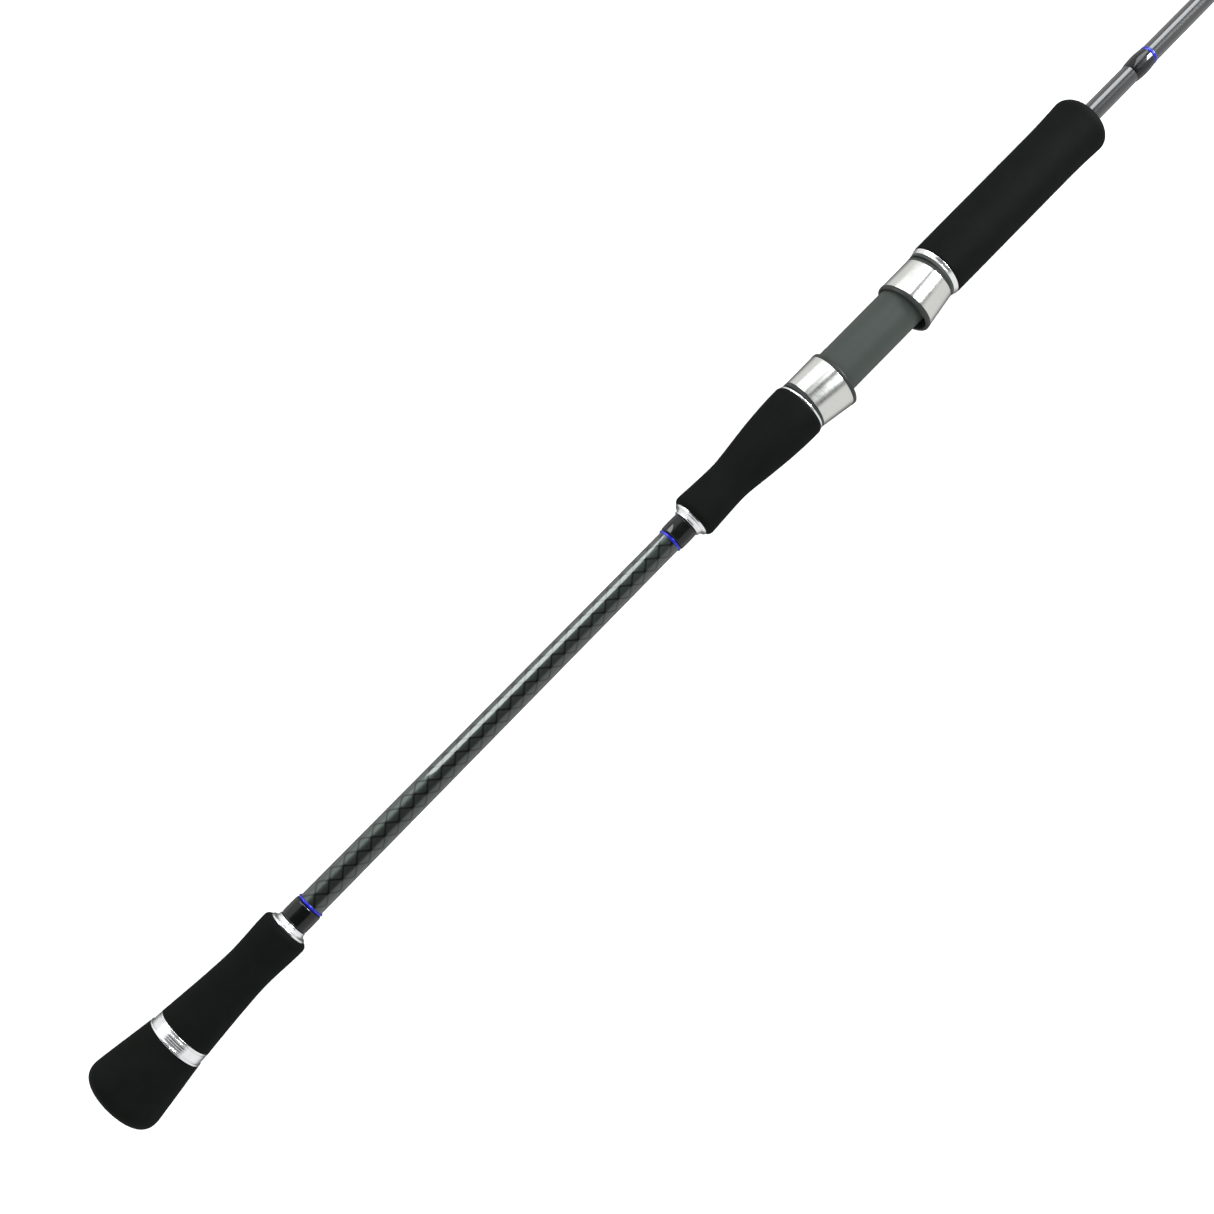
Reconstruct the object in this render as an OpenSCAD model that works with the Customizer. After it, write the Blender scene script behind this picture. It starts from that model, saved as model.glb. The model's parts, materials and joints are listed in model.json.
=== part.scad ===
// Heavy spinning rod, lying on its side: +X runs from butt to tip along the blank's axis,
// the reel and the line guides are on the -Y side, and the origin is on the axis at the
// middle of the reel seat. Stations in the sections below are distances from the butt end.

/* [Blank] */
// Length of the whole rod, butt to the far side of the tip ring
rod_length = 1830; // [1750:1:1900]
// Radius of the blank inside the butt knob
blank_butt_r = 6.45; // [6.3:0.05:6.6]
// Radius of the blank where its fast taper starts
blank_knee_r = 5.79; // [5.7:0.01:5.9]
// Station where the fast taper starts
blank_knee_x = 364; // [350:1:372]
// Radius of the blank at its tip
blank_tip_r = 1.1; // [1:0.05:1.3]
// Wall of the blank at the butt
blank_wall = 1.3; // [1:0.05:1.6]
// Thickness of the woven carbon layer let into the blank
weave_t = 0.35; // [0.25:0.05:0.45]

/* [Butt and lower grip] */
// Largest radius of the butt knob
knob_r = 19.1; // [18:0.1:21]
// Radius of the knob's rounded rim
knob_rim_r = 6; // [4:0.5:8]
// Radius of the slight dome on the butt end
knob_dome_r = 60; // [50:1:90]
// Radius of the knob where it meets the butt ring
knob_neck_r = 14.7; // [14.2:0.1:15.2]
// Station of the butt ring
butt_ring_x = 37.5; // [36:0.5:39]
// Width of the butt ring
butt_ring_w = 6.8; // [6:0.1:8]
// Radius of the lower grip where it meets the butt ring
lower_back_r = 13.9; // [13.4:0.1:14.2]
// Radius of the lower grip's waist
lower_waist_r = 10.95; // [10.5:0.05:11.5]
// Station of the lower grip's waist
lower_waist_x = 82; // [78:1:86]
// Radius of the lower grip just behind its rounded front
lower_front_r = 11.9; // [11.5:0.1:12.3]
// Station of the lower grip's front
lower_front_x = 106.5; // [104:0.5:110]
// Length of each winding check
check_length = 4.2; // [3.5:0.1:5]
// Length of each black thread wrap beside a check
handle_wrap_length = 10.2; // [8:0.1:14]
// Length of each blue thread band
band_length = 1.4; // [1.2:0.1:2.6]

/* [Rear grip] */
// Station of the rear grip's back end
rear_back_x = 366.6; // [365:0.1:369]
// Radius of the rear grip near its back end
rear_back_r = 11.45; // [11:0.05:12]
// Station of the rear grip's waist
rear_waist_x = 392.5; // [388:0.5:397]
// Radius of the rear grip's waist
rear_waist_r = 10.35; // [10:0.05:11]
// Radius of the rear grip at the reel seat
rear_front_r = 14.2; // [13.8:0.05:14.6]
// Station of the rear grip's front end
rear_front_x = 440.5; // [439:0.1:441]
// Width of the thin silver ring in front of the rear grip
seat_ring_w = 1.2; // [1:0.1:1.6]

/* [Reel seat] */
// Outer radius of the seat body, where the reel foot rests
seat_r = 11.5; // [11.4:0.05:11.6]
// Inner radius of the seat body
seat_bore_r = 9; // [8.6:0.1:9.4]
// Station of the rear hood's mouth
rear_mouth_x = 463.4; // [463:0.1:464]
// Station of the front hood's mouth at rest
front_mouth_x = 510.3; // [509:0.1:512]
// Length of each hood's steel shell
shell_length = 17.5; // [17:0.1:18]
// How far the plastic lip stands out of the steel shell
lip_length = 2.2; // [1.8:0.1:2.6]
// Radius of a hood at its closed end
hood_back_r = 13.3; // [13.2:0.05:13.5]
// Radius of a hood at its mouth
hood_mouth_r = 14.7; // [14.6:0.05:14.9]
// Wall of a steel shell
shell_t = 0.7; // [0.6:0.05:0.8]
// Wall of the plastic liner under the steel shell
liner_t = 0.9; // [0.8:0.05:1.1]
// Station where the seat's screw thread starts
thread_x = 532; // [531:1:534]
// Length of the seat's screw thread
thread_length = 45; // [44:1:48]
// Radius of the seat thread's crest
thread_crest_r = 11.4; // [11.3:0.02:11.42]
// Depth of the screw thread
thread_depth = 0.8; // [0.7:0.05:0.9]
// Radial clearance between the seat thread and the nut thread
thread_gap = 0.3; // [0.26:0.02:0.34]
// Width of the key that stops the front hood turning
key_w = 3; // [2.5:0.1:3.5]
// Depth of the keyway in the seat body
keyway_depth = 0.9; // [0.8:0.05:1]

/* [Fore grip] */
// Station of the lock nut's back face at rest
nut_x = 531.8; // [531.7:0.1:532]
// Width of the lock nut's visible flange
nut_flange_w = 1.5; // [1.3:0.1:1.7]
// Radius of the lock nut's flange
nut_flange_r = 13.35; // [13.2:0.05:13.5]
// Radius of the lock nut's sleeve inside the fore grip
nut_sleeve_r = 12.7; // [12.6:0.05:12.8]
// Width of the silver ring between nut and fore grip
nut_ring_w = 2.6; // [2.2:0.1:3]
// Radius of the fore grip at its back end
fore_back_r = 14.4; // [14.2:0.05:14.6]
// Largest radius of the fore grip near its front
fore_front_r = 15.2; // [14.9:0.05:15.4]
// Station of the fore grip's front face
fore_front_x = 643.2; // [642:0.1:645]
// Clearance between the fore grip's front hole and the blank
fore_gap = 0.2; // [0.15:0.01:0.3]

/* [Stopper wrap] */
// Station of the stopper wrap's back end
stopper_x = 676.8; // [675:0.1:680]
// Length of the stopper wrap
stopper_length = 12.8; // [12:0.1:14]
// Largest radius of the stopper wrap
stopper_r = 5.5; // [5.4:0.05:5.7]

/* [Guides] */
// Gap between the tip ring and the next guide
first_gap = 68; // [62:1:70]
// Each guide gap is this many times the gap before it
gap_growth = 1.19; // [1.17:0.01:1.2]
// Wall of a ceramic guide ring
ring_wall = 1.35; // [1.2:0.05:1.4]
// Wire radius of a guide frame
wire_r = 0.75; // [0.7:0.05:0.8]
// Thickness of a guide foot
foot_t = 0.8; // [0.7:0.05:0.9]

/* [Hidden] */

$fn = 96;
foam = [0.09, 0.1, 0.09];
silver = [0.86, 0.87, 0.88];
steel = [0.74, 0.74, 0.72];
dark_plastic = [0.2, 0.22, 0.21];
seat_grey = [0.31, 0.34, 0.32];
carbon = [0.13, 0.14, 0.14];
weave_grey = [0.22, 0.25, 0.24];
black_thread = [0.05, 0.05, 0.06];
blue_thread = [0.1, 0.12, 0.75];
ceramic = [0.12, 0.12, 0.14];

// The reel seat's middle, which is the frame's origin.
seat_mid_x = (rear_mouth_x + front_mouth_x) / 2;

// The blank, as [station, radius].
blank_start_x = 3;
blank_end_x = rod_length - 4;
blank_taper = [
    [blank_start_x, blank_butt_r], [blank_knee_x, blank_knee_r], [blank_end_x, blank_tip_r]
];
blank_tip_wall = 0.55;
epoxy_t = 0.35;

// The handle's rings, from butt to tip.
check_bore_depth = 0.8;
check_rim_r = 9.5;
check_rim_w = 1.4;
lower_grip_x = butt_ring_x + butt_ring_w;
lower_wrap_x = lower_front_x - check_bore_depth + check_length;
lower_band_x = lower_wrap_x + handle_wrap_length;
rear_check_x = rear_back_x + check_bore_depth - check_length;
rear_wrap_x = rear_check_x - handle_wrap_length;
rear_band_x = rear_wrap_x - band_length;
weave_x = [lower_front_x, rear_back_x];
handle_wrap_h = 0.95;
handle_band_h = 0.7;
wrap_ramp = 0.6;
band_ramp = 0.5;
band_h = 0.3;

// The reel seat: each hood is a right cone frustum whose axis leans towards the reel.
hood_lean = atan((hood_mouth_r - hood_back_r) / shell_length);
hood_back_y = 0.2;
hood_collar_length = 5;
hood_lip_r = hood_mouth_r + 0.15;
hood_lip_rim_r = 0.8;
seat_back_x = rear_front_x + seat_ring_w;
seat_front_x = thread_x;
arbor_x = [446, 496, 560];
arbor_w = 12;
thread_pitch = 3;
hood_fit = 0.08;
hood_nut_gap = 0.1;
pocket_start = 3;
pocket_half_w = 9;
key_fit = 0.12;
key_start = 4;
keyway_x = 470;
nut_thread_x = 541;
nut_thread_length = 9;
nut_sleeve_front_x = 562;
nut_clear_r = thread_crest_r + 0.35;
nut_ring_x = nut_x + nut_flange_w;
fore_back_x = nut_ring_x + nut_ring_w;
fore_flare_x = 615;
fore_rim_r = 5;
fore_hollow_r = 12;
fore_hollow_x = 588;
fore_hollow_end_x = 594;
thread_sides = 24;
rings_per_turn = 6;

// The guides: nominal ring diameters from the handle to the tip.
guide_size = [25, 20, 16, 12, 10, 10, 10];
guide_count = len(guide_size);
holder_t = 0.8;
band_gap = 0.2;

// The tip-top.
tip_size = 10;
tip_height = tip_size / 2 + 2.6;
tip_ring_x = rod_length - 1.3;
tip_tube_x = blank_end_x - 13;
tip_tube_r = blank_r(tip_tube_x) + 0.45;
tip_tube_end_x = blank_end_x + 1.2;
tip_holder_w = 1.8;
tip_bar_r = 0.55;
tip_wrap_length = 9;
tip_wrap_h = 0.4;

// How far a cutting solid reaches past what it cuts.
clear = 10;

// Radius of the blank's surface at a station.
function blank_r(x) = lookup(x, blank_taper);

// Station of guide i, counted from 1 at the handle: the gaps grow away from the tip.
function guide_x(i) =
    let (n = guide_count + 1 - i)
    tip_ring_x - first_gap * (pow(gap_growth, n) - 1) / (gap_growth - 1);

// Distance from the blank's axis to a guide ring's centre.
function ring_height(size) = 2 + 1.05 * size;

// Reach of a guide's legs along the blank, from the ring to a foot's near end.
function leg_reach(size) = 4 + 0.62 * size;

// Length of a guide's foot.
function foot_length(size) = 6 + 0.36 * size;

// Points along a curve between two stations, as [radius, station] for turned().
function curve(x0, x1, steps, r) =
    [for (i = [0 : steps]) let (x = x0 + (x1 - x0) * i / steps) [r(x), x]];

// Points of a rounded corner: centre, radius and the arc's two angles from the radius axis.
function corner(r, x, rad, a0, a1, steps = 6) =
    [for (i = [0 : steps]) let (a = a0 + (a1 - a0) * i / steps) [r + rad * cos(a), x + rad * sin(a)]];

// The inner edge of a piece bonded to the blank, from front to back.
function blank_edge(x0, x1, gap = 0) =
    x0 < blank_knee_x && x1 > blank_knee_x
        ? [[blank_r(x1) + gap, x1], [blank_knee_r + gap, blank_knee_x], [blank_r(x0) + gap, x0]]
        : [[blank_r(x1) + gap, x1], [blank_r(x0) + gap, x0]];

// Moves a piece drawn at its distance from the butt into the part's frame.
module placed() {
    translate([-seat_mid_x, 0, 0]) children();
}

// A piece turned about the rod's axis; the outline's points are [radius, station].
module turned(outline) {
    rotate([0, 90, 0]) rotate_extrude() polygon(outline);
}

// A plain round plug about the rod's axis.
module plug(r, x0, x1) {
    turned([[0, x0], [r, x0], [r, x1], [0, x1]]);
}

// A sector of a turned piece, centred on the guide side.
module turned_sector(outline, half_angle) {
    rotate([0, 90, 0]) rotate([0, 0, -90 - half_angle])
        rotate_extrude(angle = 2 * half_angle) polygon(outline);
}

// A round bar between two points.
module bar(a, b, r) {
    v = b - a;
    translate(a) rotate([0, acos(v.z / norm(v)), atan2(v.y, v.x)])
        cylinder(h = norm(v), r = r, $fn = 32);
}

// A threaded rod along +X from the origin, with a rounded single-start right-hand thread.
module threaded_rod(length, crest_r, phase = 0) {
    rings = round(length / thread_pitch * rings_per_turn);
    step = length / rings;
    function vertex_r(x, a) =
        crest_r - thread_depth / 2 + thread_depth / 2 * cos(360 * (x + phase) / thread_pitch - a);
    points = [
        for (i = [0 : rings], k = [0 : thread_sides - 1])
            let (a = 360 * k / thread_sides, r = vertex_r(i * step, a))
            [i * step, r * cos(a), r * sin(a)]
    ];
    function at(i, k) = i * thread_sides + k % thread_sides;
    walls = [
        for (i = [0 : rings - 1], k = [0 : thread_sides - 1])
            each [
                [at(i, k), at(i + 1, k), at(i, k + 1)],
                [at(i, k + 1), at(i + 1, k), at(i + 1, k + 1)]
            ]
    ];
    back = [[for (k = [0 : thread_sides - 1]) at(0, k)]];
    front = [[for (k = [thread_sides - 1 : -1 : 0]) at(rings, k)]];
    polyhedron(points, concat(walls, back, front));
}

// ---- Blank ----

module blank() {
    color(carbon) placed() difference() {
        turned(concat(
            [[0, blank_start_x]],
            [for (p = blank_taper) [p[1], p[0]]],
            [[0, blank_end_x]]
        ));
        turned([
            [0, blank_start_x - 1],
            [blank_butt_r - blank_wall, blank_start_x - 1],
            [blank_knee_r - blank_wall, blank_knee_x],
            [blank_tip_r - blank_tip_wall, blank_end_x + 1],
            [0, blank_end_x + 1]
        ]);
        woven_band(0);
    }
}

// The woven layer's ring, let into the blank's surface.
module woven_band(above) {
    turned(concat(
        blank_edge(weave_x[0], weave_x[1], above),
        [
            [blank_r(weave_x[0]) - weave_t, weave_x[0]],
            [blank_knee_r - weave_t, blank_knee_x],
            [blank_r(weave_x[1]) - weave_t, weave_x[1]]
        ]
    ));
}

module woven_layer() {
    color(weave_grey) placed() woven_band(0);
}

// ---- Butt and lower grip ----

module butt_knob() {
    rim_x = knob_rim_r + 2;
    slope = atan((knob_r - knob_neck_r) / (butt_ring_x - rim_x));
    dome_edge_r = knob_r - knob_rim_r;
    dome_x = function (r) knob_dome_r - sqrt(knob_dome_r * knob_dome_r - r * r);
    dome = [for (i = [0 : 6]) let (r = dome_edge_r * i / 6) [r, dome_x(r)]];
    rim = corner(dome_edge_r, dome_x(dome_edge_r) + knob_rim_r, knob_rim_r, -84, slope, 8);
    color(foam) placed() difference() {
        turned(concat(dome, rim, [[knob_neck_r, butt_ring_x], [0, butt_ring_x]]));
        turned(concat(
            [[0, butt_ring_x + 1], [blank_r(butt_ring_x), butt_ring_x + 1]],
            blank_edge(blank_start_x, butt_ring_x),
            [[0, blank_start_x]]
        ));
    }
}

module butt_ring() {
    x0 = butt_ring_x;
    x1 = butt_ring_x + butt_ring_w;
    outer = [
        [knob_neck_r - 0.5, x0], [knob_neck_r - 0.1, x0 + 0.4], [knob_neck_r - 0.1, x0 + 1],
        [knob_neck_r - 0.7, x0 + 1.3], [14.1, x0 + 1.6], [13.95, x1 - 1.4],
        [13.6, x1 - 1.2], [13.6, x1 - 0.9], [13.9, x1 - 0.7], [13.9, x1 - 0.3], [13.6, x1]
    ];
    color(silver) placed() turned(concat(outer, blank_edge(x0, x1)));
}

module lower_grip() {
    back = function (x)
        lower_waist_r + (lower_back_r - lower_waist_r)
            * pow((lower_waist_x - x) / (lower_waist_x - lower_grip_x), 1.3);
    front = function (x)
        lower_waist_r + (lower_front_r - lower_waist_r)
            * (1 - cos(180 * (x - lower_waist_x) / (lower_front_x - 2 - lower_waist_x))) / 2;
    outer = concat(
        curve(lower_grip_x, lower_waist_x, 12, back),
        curve(lower_waist_x + 2, lower_front_x - 2.4, 8, front),
        corner(lower_front_r - 2.4, lower_front_x - 2.4, 2.4, 8, 90)
    );
    color(foam) placed() difference() {
        turned(concat(outer, blank_edge(lower_grip_x, lower_front_x)));
        plug(check_rim_r, lower_front_x - check_bore_depth, lower_front_x + 1);
    }
}

// A stepped winding check, sunk into its grip; dir is 1 when it narrows towards the tip and -1
// towards the butt. It steps down from its rim, hollows and ends in a straight nose.
module winding_check(x0, dir) {
    x1 = x0 + dir * check_length;
    rim_x = x0 + dir * check_rim_w;
    outer = [
        [check_rim_r, x0], [check_rim_r, rim_x], [9.2, rim_x + dir * 0.3], [8.3, rim_x + dir * 0.5],
        [7.6, rim_x + dir * 1.2], [7.3, rim_x + dir * 2], [7.3, x1 - dir * 0.2], [7.1, x1]
    ];
    turned(concat(
        outer,
        [[blank_r(x1), x1]],
        min(x0, x1) < blank_knee_x && max(x0, x1) > blank_knee_x
            ? [[blank_knee_r, blank_knee_x]] : [],
        [[blank_r(x0), x0]]
    ));
}

module lower_check() {
    color(silver) placed() winding_check(lower_front_x - check_bore_depth, 1);
}

module rear_check() {
    color(silver) placed() winding_check(rear_back_x + check_bore_depth, -1);
}

// A thread wrap under epoxy: it ramps up at both ends and is crowned between them.
module wrap_ring(x0, x1, height, ramp) {
    outer = concat(
        [[blank_r(x0) + 0.12, x0]],
        curve(x0 + ramp / 2, x0 + ramp, 2, function (x)
            blank_r(x) + height * (0.5 + 0.4 * sin(90 * (x - x0) / ramp))),
        curve(x0 + ramp, x1 - ramp, 6, function (x)
            blank_r(x) + height * (0.9 + 0.1 * sin(180 * (x - x0) / (x1 - x0)))),
        curve(x1 - ramp, x1 - ramp / 2, 2, function (x)
            blank_r(x) + height * (0.5 + 0.4 * sin(90 * (x1 - x) / ramp))),
        [[blank_r(x1) + 0.12, x1]]
    );
    turned(concat(outer, blank_edge(x0, x1)));
}

module lower_wrap() {
    color(black_thread) placed() wrap_ring(lower_wrap_x, lower_band_x, handle_wrap_h, wrap_ramp);
}

module lower_band() {
    x1 = lower_band_x + band_length;
    color(blue_thread) placed() wrap_ring(lower_band_x, x1, handle_band_h, band_ramp);
}

module rear_wrap() {
    color(black_thread) placed() wrap_ring(rear_wrap_x, rear_check_x, handle_wrap_h, wrap_ramp);
}

module rear_band() {
    color(blue_thread) placed() wrap_ring(rear_band_x, rear_wrap_x, handle_band_h, band_ramp);
}

// ---- Rear grip ----

module rear_grip() {
    back = function (x)
        rear_waist_r + (rear_back_r - rear_waist_r)
            * pow((rear_waist_x - x) / (rear_waist_x - rear_back_x - 3), 1.4);
    front = function (x)
        rear_waist_r + (rear_front_r - rear_waist_r)
            * pow(sin(90 * (x - rear_waist_x) / (rear_front_x - 2 - rear_waist_x)), 1.15);
    outer = concat(
        corner(rear_back_r - 2.6, rear_back_x + 2.6, 2.6, -90, -14),
        curve(rear_back_x + 3.4, rear_waist_x, 8, back),
        curve(rear_waist_x + 2, rear_front_x - 2.2, 14, front),
        corner(rear_front_r - 1.4, rear_front_x - 1.4, 1.4, 12, 84)
    );
    color(foam) placed() difference() {
        turned(concat(outer, blank_edge(rear_back_x, rear_front_x)));
        plug(check_rim_r, rear_back_x - 1, rear_back_x + check_bore_depth);
    }
}

module seat_ring() {
    x0 = rear_front_x;
    x1 = rear_front_x + seat_ring_w;
    outer = [[13.2, x0], [13.5, x0 + 0.3], [13.5, x1 - 0.3], [13.2, x1]];
    color(silver) placed() turned(concat(outer, blank_edge(x0, x1)));
}

// ---- Reel seat ----

// Three rings that centre the seat body on the blank.
module seat_arbors() {
    color(dark_plastic) placed() for (x = arbor_x)
        turned(concat([[seat_bore_r, x], [seat_bore_r, x + arbor_w]], blank_edge(x, x + arbor_w)));
}

// The slot that the front hood's key runs in.
module keyway() {
    length = thread_x + thread_length - keyway_x + 1;
    translate([keyway_x, seat_r - keyway_depth, -key_w / 2 - key_fit])
        cube([length, keyway_depth + 1, key_w + 2 * key_fit]);
}

module seat_body() {
    color(seat_grey) placed() difference() {
        turned([
            [seat_bore_r, seat_back_x], [seat_r, seat_back_x],
            [seat_r, seat_front_x], [seat_bore_r, seat_front_x]
        ]);
        keyway();
    }
}

module seat_thread() {
    color(seat_grey) placed() difference() {
        translate([thread_x, 0, 0]) threaded_rod(thread_length, thread_crest_r);
        plug(seat_bore_r, thread_x - 1, thread_x + thread_length + 1);
        keyway();
    }
}

// Puts a hood drawn along +X from its closed end at x = 0 on its leaning axis.
module rear_hood_place() {
    translate([rear_mouth_x - lip_length - shell_length, -hood_back_y, 0])
        rotate([0, 0, -hood_lean]) children();
}

module front_hood_place() {
    translate([front_mouth_x + lip_length + shell_length, 0, 0]) mirror([1, 0, 0])
        translate([0, -hood_back_y, 0]) rotate([0, 0, -hood_lean]) children();
}

// A hood's conical outside, moved in by depth, between two stations on its own axis.
module hood_cone(x0, x1, depth) {
    slope = (hood_mouth_r - hood_back_r) / shell_length;
    r = function (x) hood_back_r + slope * x - depth;
    turned([[0, x0], [r(x0), x0], [r(x1), x1], [0, x1]]);
}

module hood_shell() {
    difference() {
        hood_cone(0, shell_length, 0);
        hood_cone(-1, shell_length + 1, shell_t);
    }
}

// The plastic lining with its rounded lip; the seat's bore and the foot's pocket are cut later.
module hood_lining() {
    mouth_x = shell_length + lip_length;
    hood_cone(0, shell_length, shell_t);
    plug(hood_back_r, -hood_collar_length, 0);
    turned(concat(
        [[0, shell_length], [hood_lip_r - 0.1, shell_length], [hood_lip_r, shell_length + 0.3]],
        corner(hood_lip_r - hood_lip_rim_r, mouth_x - hood_lip_rim_r, hood_lip_rim_r, 0, 90),
        [[0, mouth_x]]
    ));
}

// The space that the reel's foot slides into, under the hood on the guide side.
module foot_pocket() {
    mouth_x = shell_length + lip_length;
    intersection() {
        hood_cone(pocket_start, mouth_x + 1, shell_t + liner_t);
        translate([0, -2 * clear, -pocket_half_w]) cube([mouth_x + 2, 2 * clear, 2 * pocket_half_w]);
    }
}

module rear_hood_shell() {
    color(steel) placed() rear_hood_place() hood_shell();
}

module rear_hood_liner() {
    color(dark_plastic) placed() difference() {
        rear_hood_place() hood_lining();
        plug(2 * hood_mouth_r, seat_back_x - clear, seat_back_x);
        plug(seat_r, seat_back_x - clear, rear_mouth_x + clear);
        rear_hood_place() foot_pocket();
    }
}

module front_hood_shell() {
    color(steel) placed() front_hood_place() hood_shell();
}

module front_hood_liner() {
    hood_end_x = nut_x - hood_nut_gap;
    key_x = front_mouth_x + key_start;
    color(dark_plastic) placed() {
        difference() {
            front_hood_place() hood_lining();
            plug(2 * hood_mouth_r, hood_end_x, hood_end_x + clear);
            plug(seat_r + hood_fit, front_mouth_x - clear, hood_end_x + clear);
            front_hood_place() foot_pocket();
        }
        translate([key_x, seat_r - keyway_depth + key_fit, -key_w / 2])
            cube([hood_end_x - key_x, keyway_depth + 0.6, key_w]);
    }
}

// ---- Fore grip ----

// The nut's flange and sleeve; its thread follows the seat's, a little larger all round.
module lock_nut() {
    overlap = 0.5;
    color(dark_plastic) placed() difference() {
        turned([
            [0, nut_x], [nut_flange_r - 0.3, nut_x], [nut_flange_r, nut_x + 0.3],
            [nut_flange_r, nut_ring_x - 0.2], [nut_flange_r - 0.2, nut_ring_x],
            [nut_sleeve_r, nut_ring_x], [nut_sleeve_r, nut_sleeve_front_x], [0, nut_sleeve_front_x]
        ]);
        plug(nut_clear_r, nut_x - 1, nut_thread_x);
        translate([nut_thread_x - overlap, 0, 0]) threaded_rod(
            nut_thread_length + 2 * overlap, thread_crest_r + thread_gap,
            nut_thread_x - overlap - thread_x
        );
        plug(nut_clear_r, nut_thread_x + nut_thread_length, nut_sleeve_front_x + 1);
    }
}

module nut_ring() {
    x0 = nut_ring_x;
    x1 = fore_back_x;
    outer = [
        [13.4, x0], [13.7, x0 + 0.2], [13.8, x0 + 0.9], [14.15, x0 + 1.1],
        [14.2, x1 - 0.4], [13.9, x1]
    ];
    color(silver) placed() turned(concat(outer, [[nut_sleeve_r, x1], [nut_sleeve_r, x0]]));
}

module fore_grip() {
    rim_x = fore_front_x - fore_rim_r;
    flare = function (x)
        fore_back_r + (fore_front_r - fore_back_r)
            * pow((x - fore_flare_x) / (rim_x - fore_flare_x), 2);
    outer = concat(
        corner(fore_back_r - 0.6, fore_back_x + 0.6, 0.6, -80, 0, 4),
        curve(fore_flare_x, rim_x, 6, flare),
        corner(fore_front_r - fore_rim_r, rim_x, fore_rim_r, 8, 90, 8)
    );
    inner = [
        [blank_r(fore_front_x) + fore_gap, fore_front_x],
        [blank_r(fore_hollow_end_x) + fore_gap, fore_hollow_end_x],
        [fore_hollow_r, fore_hollow_x], [fore_hollow_r, nut_sleeve_front_x],
        [nut_sleeve_r, nut_sleeve_front_x], [nut_sleeve_r, fore_back_x]
    ];
    color(foam) placed() turned(concat(outer, inner));
}

// ---- Stopper wrap ----

module stopper_wrap() {
    x0 = stopper_x;
    x1 = stopper_x + stopper_length;
    outer = curve(x0, x1, 12, function (x)
        let (t = (x - x0) / (x1 - x0), flat = blank_r(x) + 0.1)
        flat + (stopper_r - flat) * pow(sin(180 * t), 0.7));
    color(black_thread) placed() turned(concat(outer, blank_edge(x0, x1)));
}

module stopper_band() {
    x0 = stopper_x + stopper_length;
    color(blue_thread) placed() wrap_ring(x0, x0 + band_length + 0.3, band_h, band_ramp);
}

// ---- Guides ----

// A guide foot, thinned towards its free end.
// dir is -1 for the foot on the butt side of the ring and 1 for the other. The space cut for
// it in a wrap goes deeper by under and wider by over.
module foot(x, dir, size, under = -0.02, over = 0) {
    near = x + dir * leg_reach(size);
    far = near + dir * foot_length(size);
    half_angle = min(55, 56 * (1.6 + 0.05 * size) / (PI * blank_r(x)));
    turned_sector([
        [blank_r(near) - under, near - dir * over],
        [blank_r(near) + foot_t + over, near - dir * over],
        [blank_r(far) + 0.45 * foot_t + over, far + dir * over],
        [blank_r(far) - under, far + dir * over]
    ], half_angle + 20 * over);
}

// Point on a guide ring's holder, at an angle from the blank's side of the ring.
function holder_point(x, size, a) =
    let (r = size / 2 + holder_t / 2)
    [x, -ring_height(size) + r * cos(a), r * sin(a)];

module guide_frame(i) {
    size = guide_size[i - 1];
    x = guide_x(i);
    wire = wire_r * (0.75 + 0.01 * size);
    holder_w = 1.8 + 0.02 * size;
    color(steel) placed() difference() {
        union() {
            translate([0, -ring_height(size), 0])
                plug(size / 2 + holder_t, x - holder_w / 2, x + holder_w / 2);
            for (dir = [-1, 1]) {
                foot(x, dir, size);
                near = x + dir * leg_reach(size);
                for (side = [-1, 1])
                    bar(
                        [near + dir * 1.2, -blank_r(near) - foot_t * 0.55, side * wire * 0.5],
                        holder_point(x, size, side * (dir < 0 ? 62 : 30)),
                        wire
                    );
            }
        }
        translate([0, -ring_height(size), 0]) plug(size / 2, x - clear, x + clear);
        turned(blank_cutter(x - 6 * clear, x + 6 * clear));
    }
}

// Outline of the blank itself, to keep other pieces out of it.
function blank_cutter(x0, x1) =
    [[0, x0], [blank_r(x0), x0], [blank_r(x1), x1], [0, x1]];

// A ceramic ring with rounded edges, centred on a guide's axis.
module ceramic_ring(x, height, size) {
    outer_r = size / 2;
    half_w = 1.3 + 0.012 * size;
    rim = 0.5;
    throat = 0.6;
    inner_rim_r = outer_r - ring_wall + throat;
    translate([x, -height, 0]) turned(concat(
        [[outer_r, rim - half_w], [outer_r, half_w - rim]],
        corner(outer_r - rim, half_w - rim, rim, 30, 90, 2),
        corner(inner_rim_r, half_w - throat, throat, 90, 180, 3),
        corner(inner_rim_r, throat - half_w, throat, 180, 270, 3),
        corner(outer_r - rim, rim - half_w, rim, -90, -30, 2)
    ));
}

module guide_ring(i) {
    color(ceramic) placed() ceramic_ring(guide_x(i), ring_height(guide_size[i - 1]), guide_size[i - 1]);
}

// Start and end of the wrap over a foot, butt side first.
function wrap_span(i, dir) =
    let (
        size = guide_size[i - 1],
        near = guide_x(i) + dir * (leg_reach(size) + 2.2),
        far = guide_x(i) + dir * (leg_reach(size) + foot_length(size) + 4)
    )
    [min(near, far), max(near, far)];

// One wrap over a foot: round, and pushed towards the guide side by half the foot.
module foot_wrap(x0, x1) {
    half = foot_t / 2;
    outer = concat(
        [[blank_r(x0) + half + 0.15, x0]],
        curve(x0 + 1, x1 - 1, 5, function (x)
            blank_r(x) + half + epoxy_t + 0.08 * sin(180 * (x - x0) / (x1 - x0))),
        [[blank_r(x1) + half + 0.15, x1]]
    );
    translate([0, -half, 0]) turned(concat(outer, [[0, x1], [0, x0]]));
}

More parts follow.
